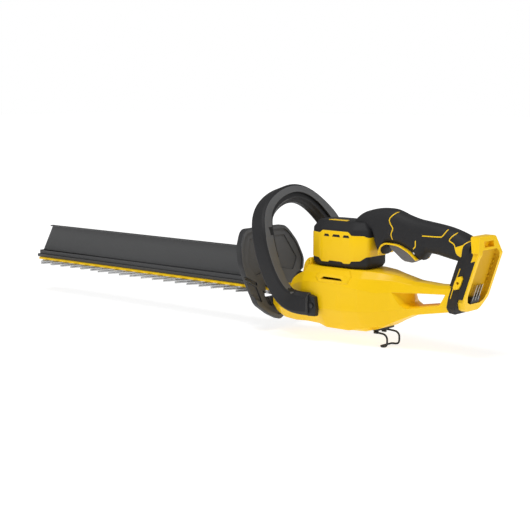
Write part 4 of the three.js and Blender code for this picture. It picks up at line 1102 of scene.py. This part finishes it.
# front loop
loopShape = {
    # x behind the guard, y, z, thickness, extra depth; from the top down to the left foot
    "arch": [
        (42, 0, 177.5, 17, 0), (42, -25, 172.5, 17, 0), (42, -46, 164.5, 18, 0), (44, -63, 154, 19.5, 0),
        (48, -76, 142, 21, 0), (54, -85, 130, 23, 0), (61, -91.5, 118, 24.5, 0), (67, -95, 104, 25, 0),
        (71, -96, 88, 25, 0), (75, -93, 68, 24.5, 1), (79, -86, 45, 23, 2), (84, -77, 22, 20, 4),
        (92, -68, 3, 17.5, 6), (105, -62, -3, 15, 8), (121, -60, -3, 14, 8), (134, -60, -3, 14, 8),
    ],
    "depth": 30, "wall": 3.6, "rearShort": 2.5, "lean": 0.35, "centre": 80,
    "rearChamfer": 3.4, "frontChamfer": 4, "footRound": 4, "solidFoot": 3.0, "stations": 161, "ease": 40,
    "cuts": [1.0, 0.9, 0.9, 1.4, 1.4, 1.2, 1, 0.8, 0.8, 1],
    "leverShare": 0.60, "leverGap": 1.3, "leverTravel": 4, "leverCuts": [1, 0.8, 0.8, 2, 2.5, 2.5, 2],
    "notch": (109, 122), "notchAcross": (76, 90.5), "notchDeep": (70, 96),
    "blank": [(-30, -3.6), (-15, -3.6), (0, -3.6), (15, -3.6), (30, -3.6),
              (30, 3.6), (15, 3.6), (0, 3.6), (-15, 3.6), (-30, 3.6)],
    "blankAt": (55.2, 182.2), "blankBend": 0.0068,
}


# a frame along the arch: its tangent, the direction away from the arch's centre line at a right angle
# to the tangent, and their cross product
def loopFrame():
    left = np.array(loopShape["arch"], float)[::-1]
    rows = np.concatenate([left, left[-2::-1] * (1, -1, 1, 1, 1)])
    order = np.arange(len(rows), dtype=float)
    table = easeRows(np.column_stack([order, rows]), np.linspace(0, order[-1], loopShape["stations"]))
    table = evenOut(table, loopShape["ease"])
    place = table[:, 1:4]
    tangent = unit(np.gradient(place, axis=0))
    rise = np.maximum(place[:, 2] - loopShape["centre"], 0)
    outward = np.column_stack([-loopShape["lean"] * rise, place[:, 1], rise])
    outward = unit(outward - tangent * np.sum(outward * tangent, axis=1, keepdims=True))
    across = np.cross(tangent, outward)
    across = across * np.sign(np.sum(across[:, 0]))
    along = np.abs(table[:, 0] - order[-1] / 2)
    foot = np.clip((order[-1] / 2 - along) / loopShape["solidFoot"], 0, 1)
    return place, across, outward, table[:, 4], table[:, 5], foot


# the field bends with the arch: z drops by the bend times y squared, and x follows the lean
def setBlank(points):
    x, y, z = points.T
    lift = z - loopShape["blankBend"] * y ** 2
    return np.column_stack([x + loopShape["blankAt"][0] + loopShape["lean"] * -lift, y,
                            lift + loopShape["blankAt"][1]])


# a section whose corners are (a, b) pairs, each a number or one value for every place
def sectionOf(corners, cuts):
    rings = np.stack([np.stack(np.broadcast_arrays(*pair), -1) for pair in corners], axis=1)
    return roundCorners(rings, cuts, 4, 1)


def makeLoop():
    place, across, outward, thick, deeper, foot = loopFrame()
    h = (loopShape["depth"] + deeper) / 2
    t = thick / 2
    wall = loopShape["wall"]
    rounder = loopShape["footRound"] * (1 - foot)
    rearCut, frontCut = loopShape["rearChamfer"] + rounder, loopShape["frontChamfer"] + rounder
    floor = -t + 0.6 + (2 * t - wall - 0.6) * foot ** 2 * (3 - 2 * foot)
    short = -t + loopShape["rearShort"] * foot
    corners = [(h, short), (h, t - rearCut), (h - rearCut, t), (-h + frontCut, t), (-h, t - frontCut), (-h,
                                                                                                        -t),
               (-h + wall, -t), (-h + wall + 0.4, floor), (h - wall - 0.4, floor), (h - wall, short)]
    loop = sweep("loop_handle", place, across, outward, sectionOf(corners, loopShape["cuts"]))
    # square notches through the arch's inner rim, and the shallow blank field at its top
    for sign in (-1, 1):
        notchAcross = sorted((sign * loopShape["notchAcross"][0], sign * loopShape["notchAcross"][1]))
        join(loop, block(loopShape["notchDeep"], notchAcross, loopShape["notch"]))
    blank = plate("cutter", loopShape["blank"], 0, 30, "x", 0.8, 0.1, 3)
    join(loop, moveVertices(blank, setBlank))
    finishPiece(loop, materials["overmould"], "front_loop", angle=30)
    # painted sheen: the loop's rear-facing faces take the lighter grey
    paintFacing(loop, materials["rearPaintedSheen"], (1, 0, 0), 0.86)

    first = int(loopShape["stations"] * (1 - loopShape["leverShare"]) / 2)
    keep = slice(first, loopShape["stations"] - first)
    h, t = h[keep] - wall - loopShape["leverGap"], t[keep]
    top = t - wall - loopShape["leverTravel"] - 1
    corners = [(h, -t - 5), (h, top), (-h, top), (-h, -t - 9), (-h * 0.55, -t - 12), (h * 0.2, -t - 12),
               (h * 0.5, -t - 8)]
    section = sectionOf(corners, loopShape["leverCuts"])
    lever = sweep("loop_lever", place[keep], across[keep], outward[keep], section)
    finishPiece(lever, materials["blackPlastic"], "front_switch_lever", angle=36)


makeLoop()
for node in ("loop_clamp_left", "loop_clamp_right"):
    softCopy(node, materials["blackPlastic"], width=0.9, segments=3)
print("front loop made")

# hanging hook
hookShape = {
    "at": (236, 0, -42.5), "radius": 1.6, "aside": (0.31, 0.86, 0.41), "count": 150, "round": 16,
    # one leg, from its pivot to the middle of the hook's end
    "leg": [(0, 8, 0), (0, 14, 0), (2.5, 17, 0), (18, 17, -0.8), (24, 17, -4), (26, 17, -9), (26, 17, -15),
            (23, 17, -20.5), (17, 17, -21.5), (12.5, 14, -21.3)],
}


# a circle carried along the wire's line: cos(turn) and sin(turn) times the radius on the two normals
def makeHook():
    leg = np.array(hookShape["leg"], float) + hookShape["at"]
    line = easedLine(np.concatenate([leg * (1, -1, 1), leg[::-1]]), hookShape["count"])
    tangent = unit(np.gradient(line, axis=0))
    first = unit(np.cross(tangent, hookShape["aside"]))
    second = np.cross(tangent, first)
    turn = np.linspace(0, 2 * math.pi, hookShape["round"], endpoint=False)
    section = np.column_stack([np.cos(turn), np.sin(turn)]) * hookShape["radius"]
    hook = sweep("wire_hook", line, first, second, section)
    finishPiece(hook, materials["blackPlastic"], "hanging_hook", angle=60)


makeHook()
softCopy("hook_plate", materials["blackPlastic"], width=0.5)
print("hook made")

# inside
for node in ("gearbox_housing", "gearbox_cover", "crank_gear", "motor_rotor", "motor_can",
             "motor_mount_plate",
             "trigger_pin"):
    softCopy(node, materials["steel"], width=0.2)
for node in ("motor_magnet_left", "motor_magnet_right", "switch_module"):
    softCopy(node, materials["blackPlastic"], width=0.3)
softCopy("control_board", materials["board"], width=0.2)
print("every part of the frame has its finish")
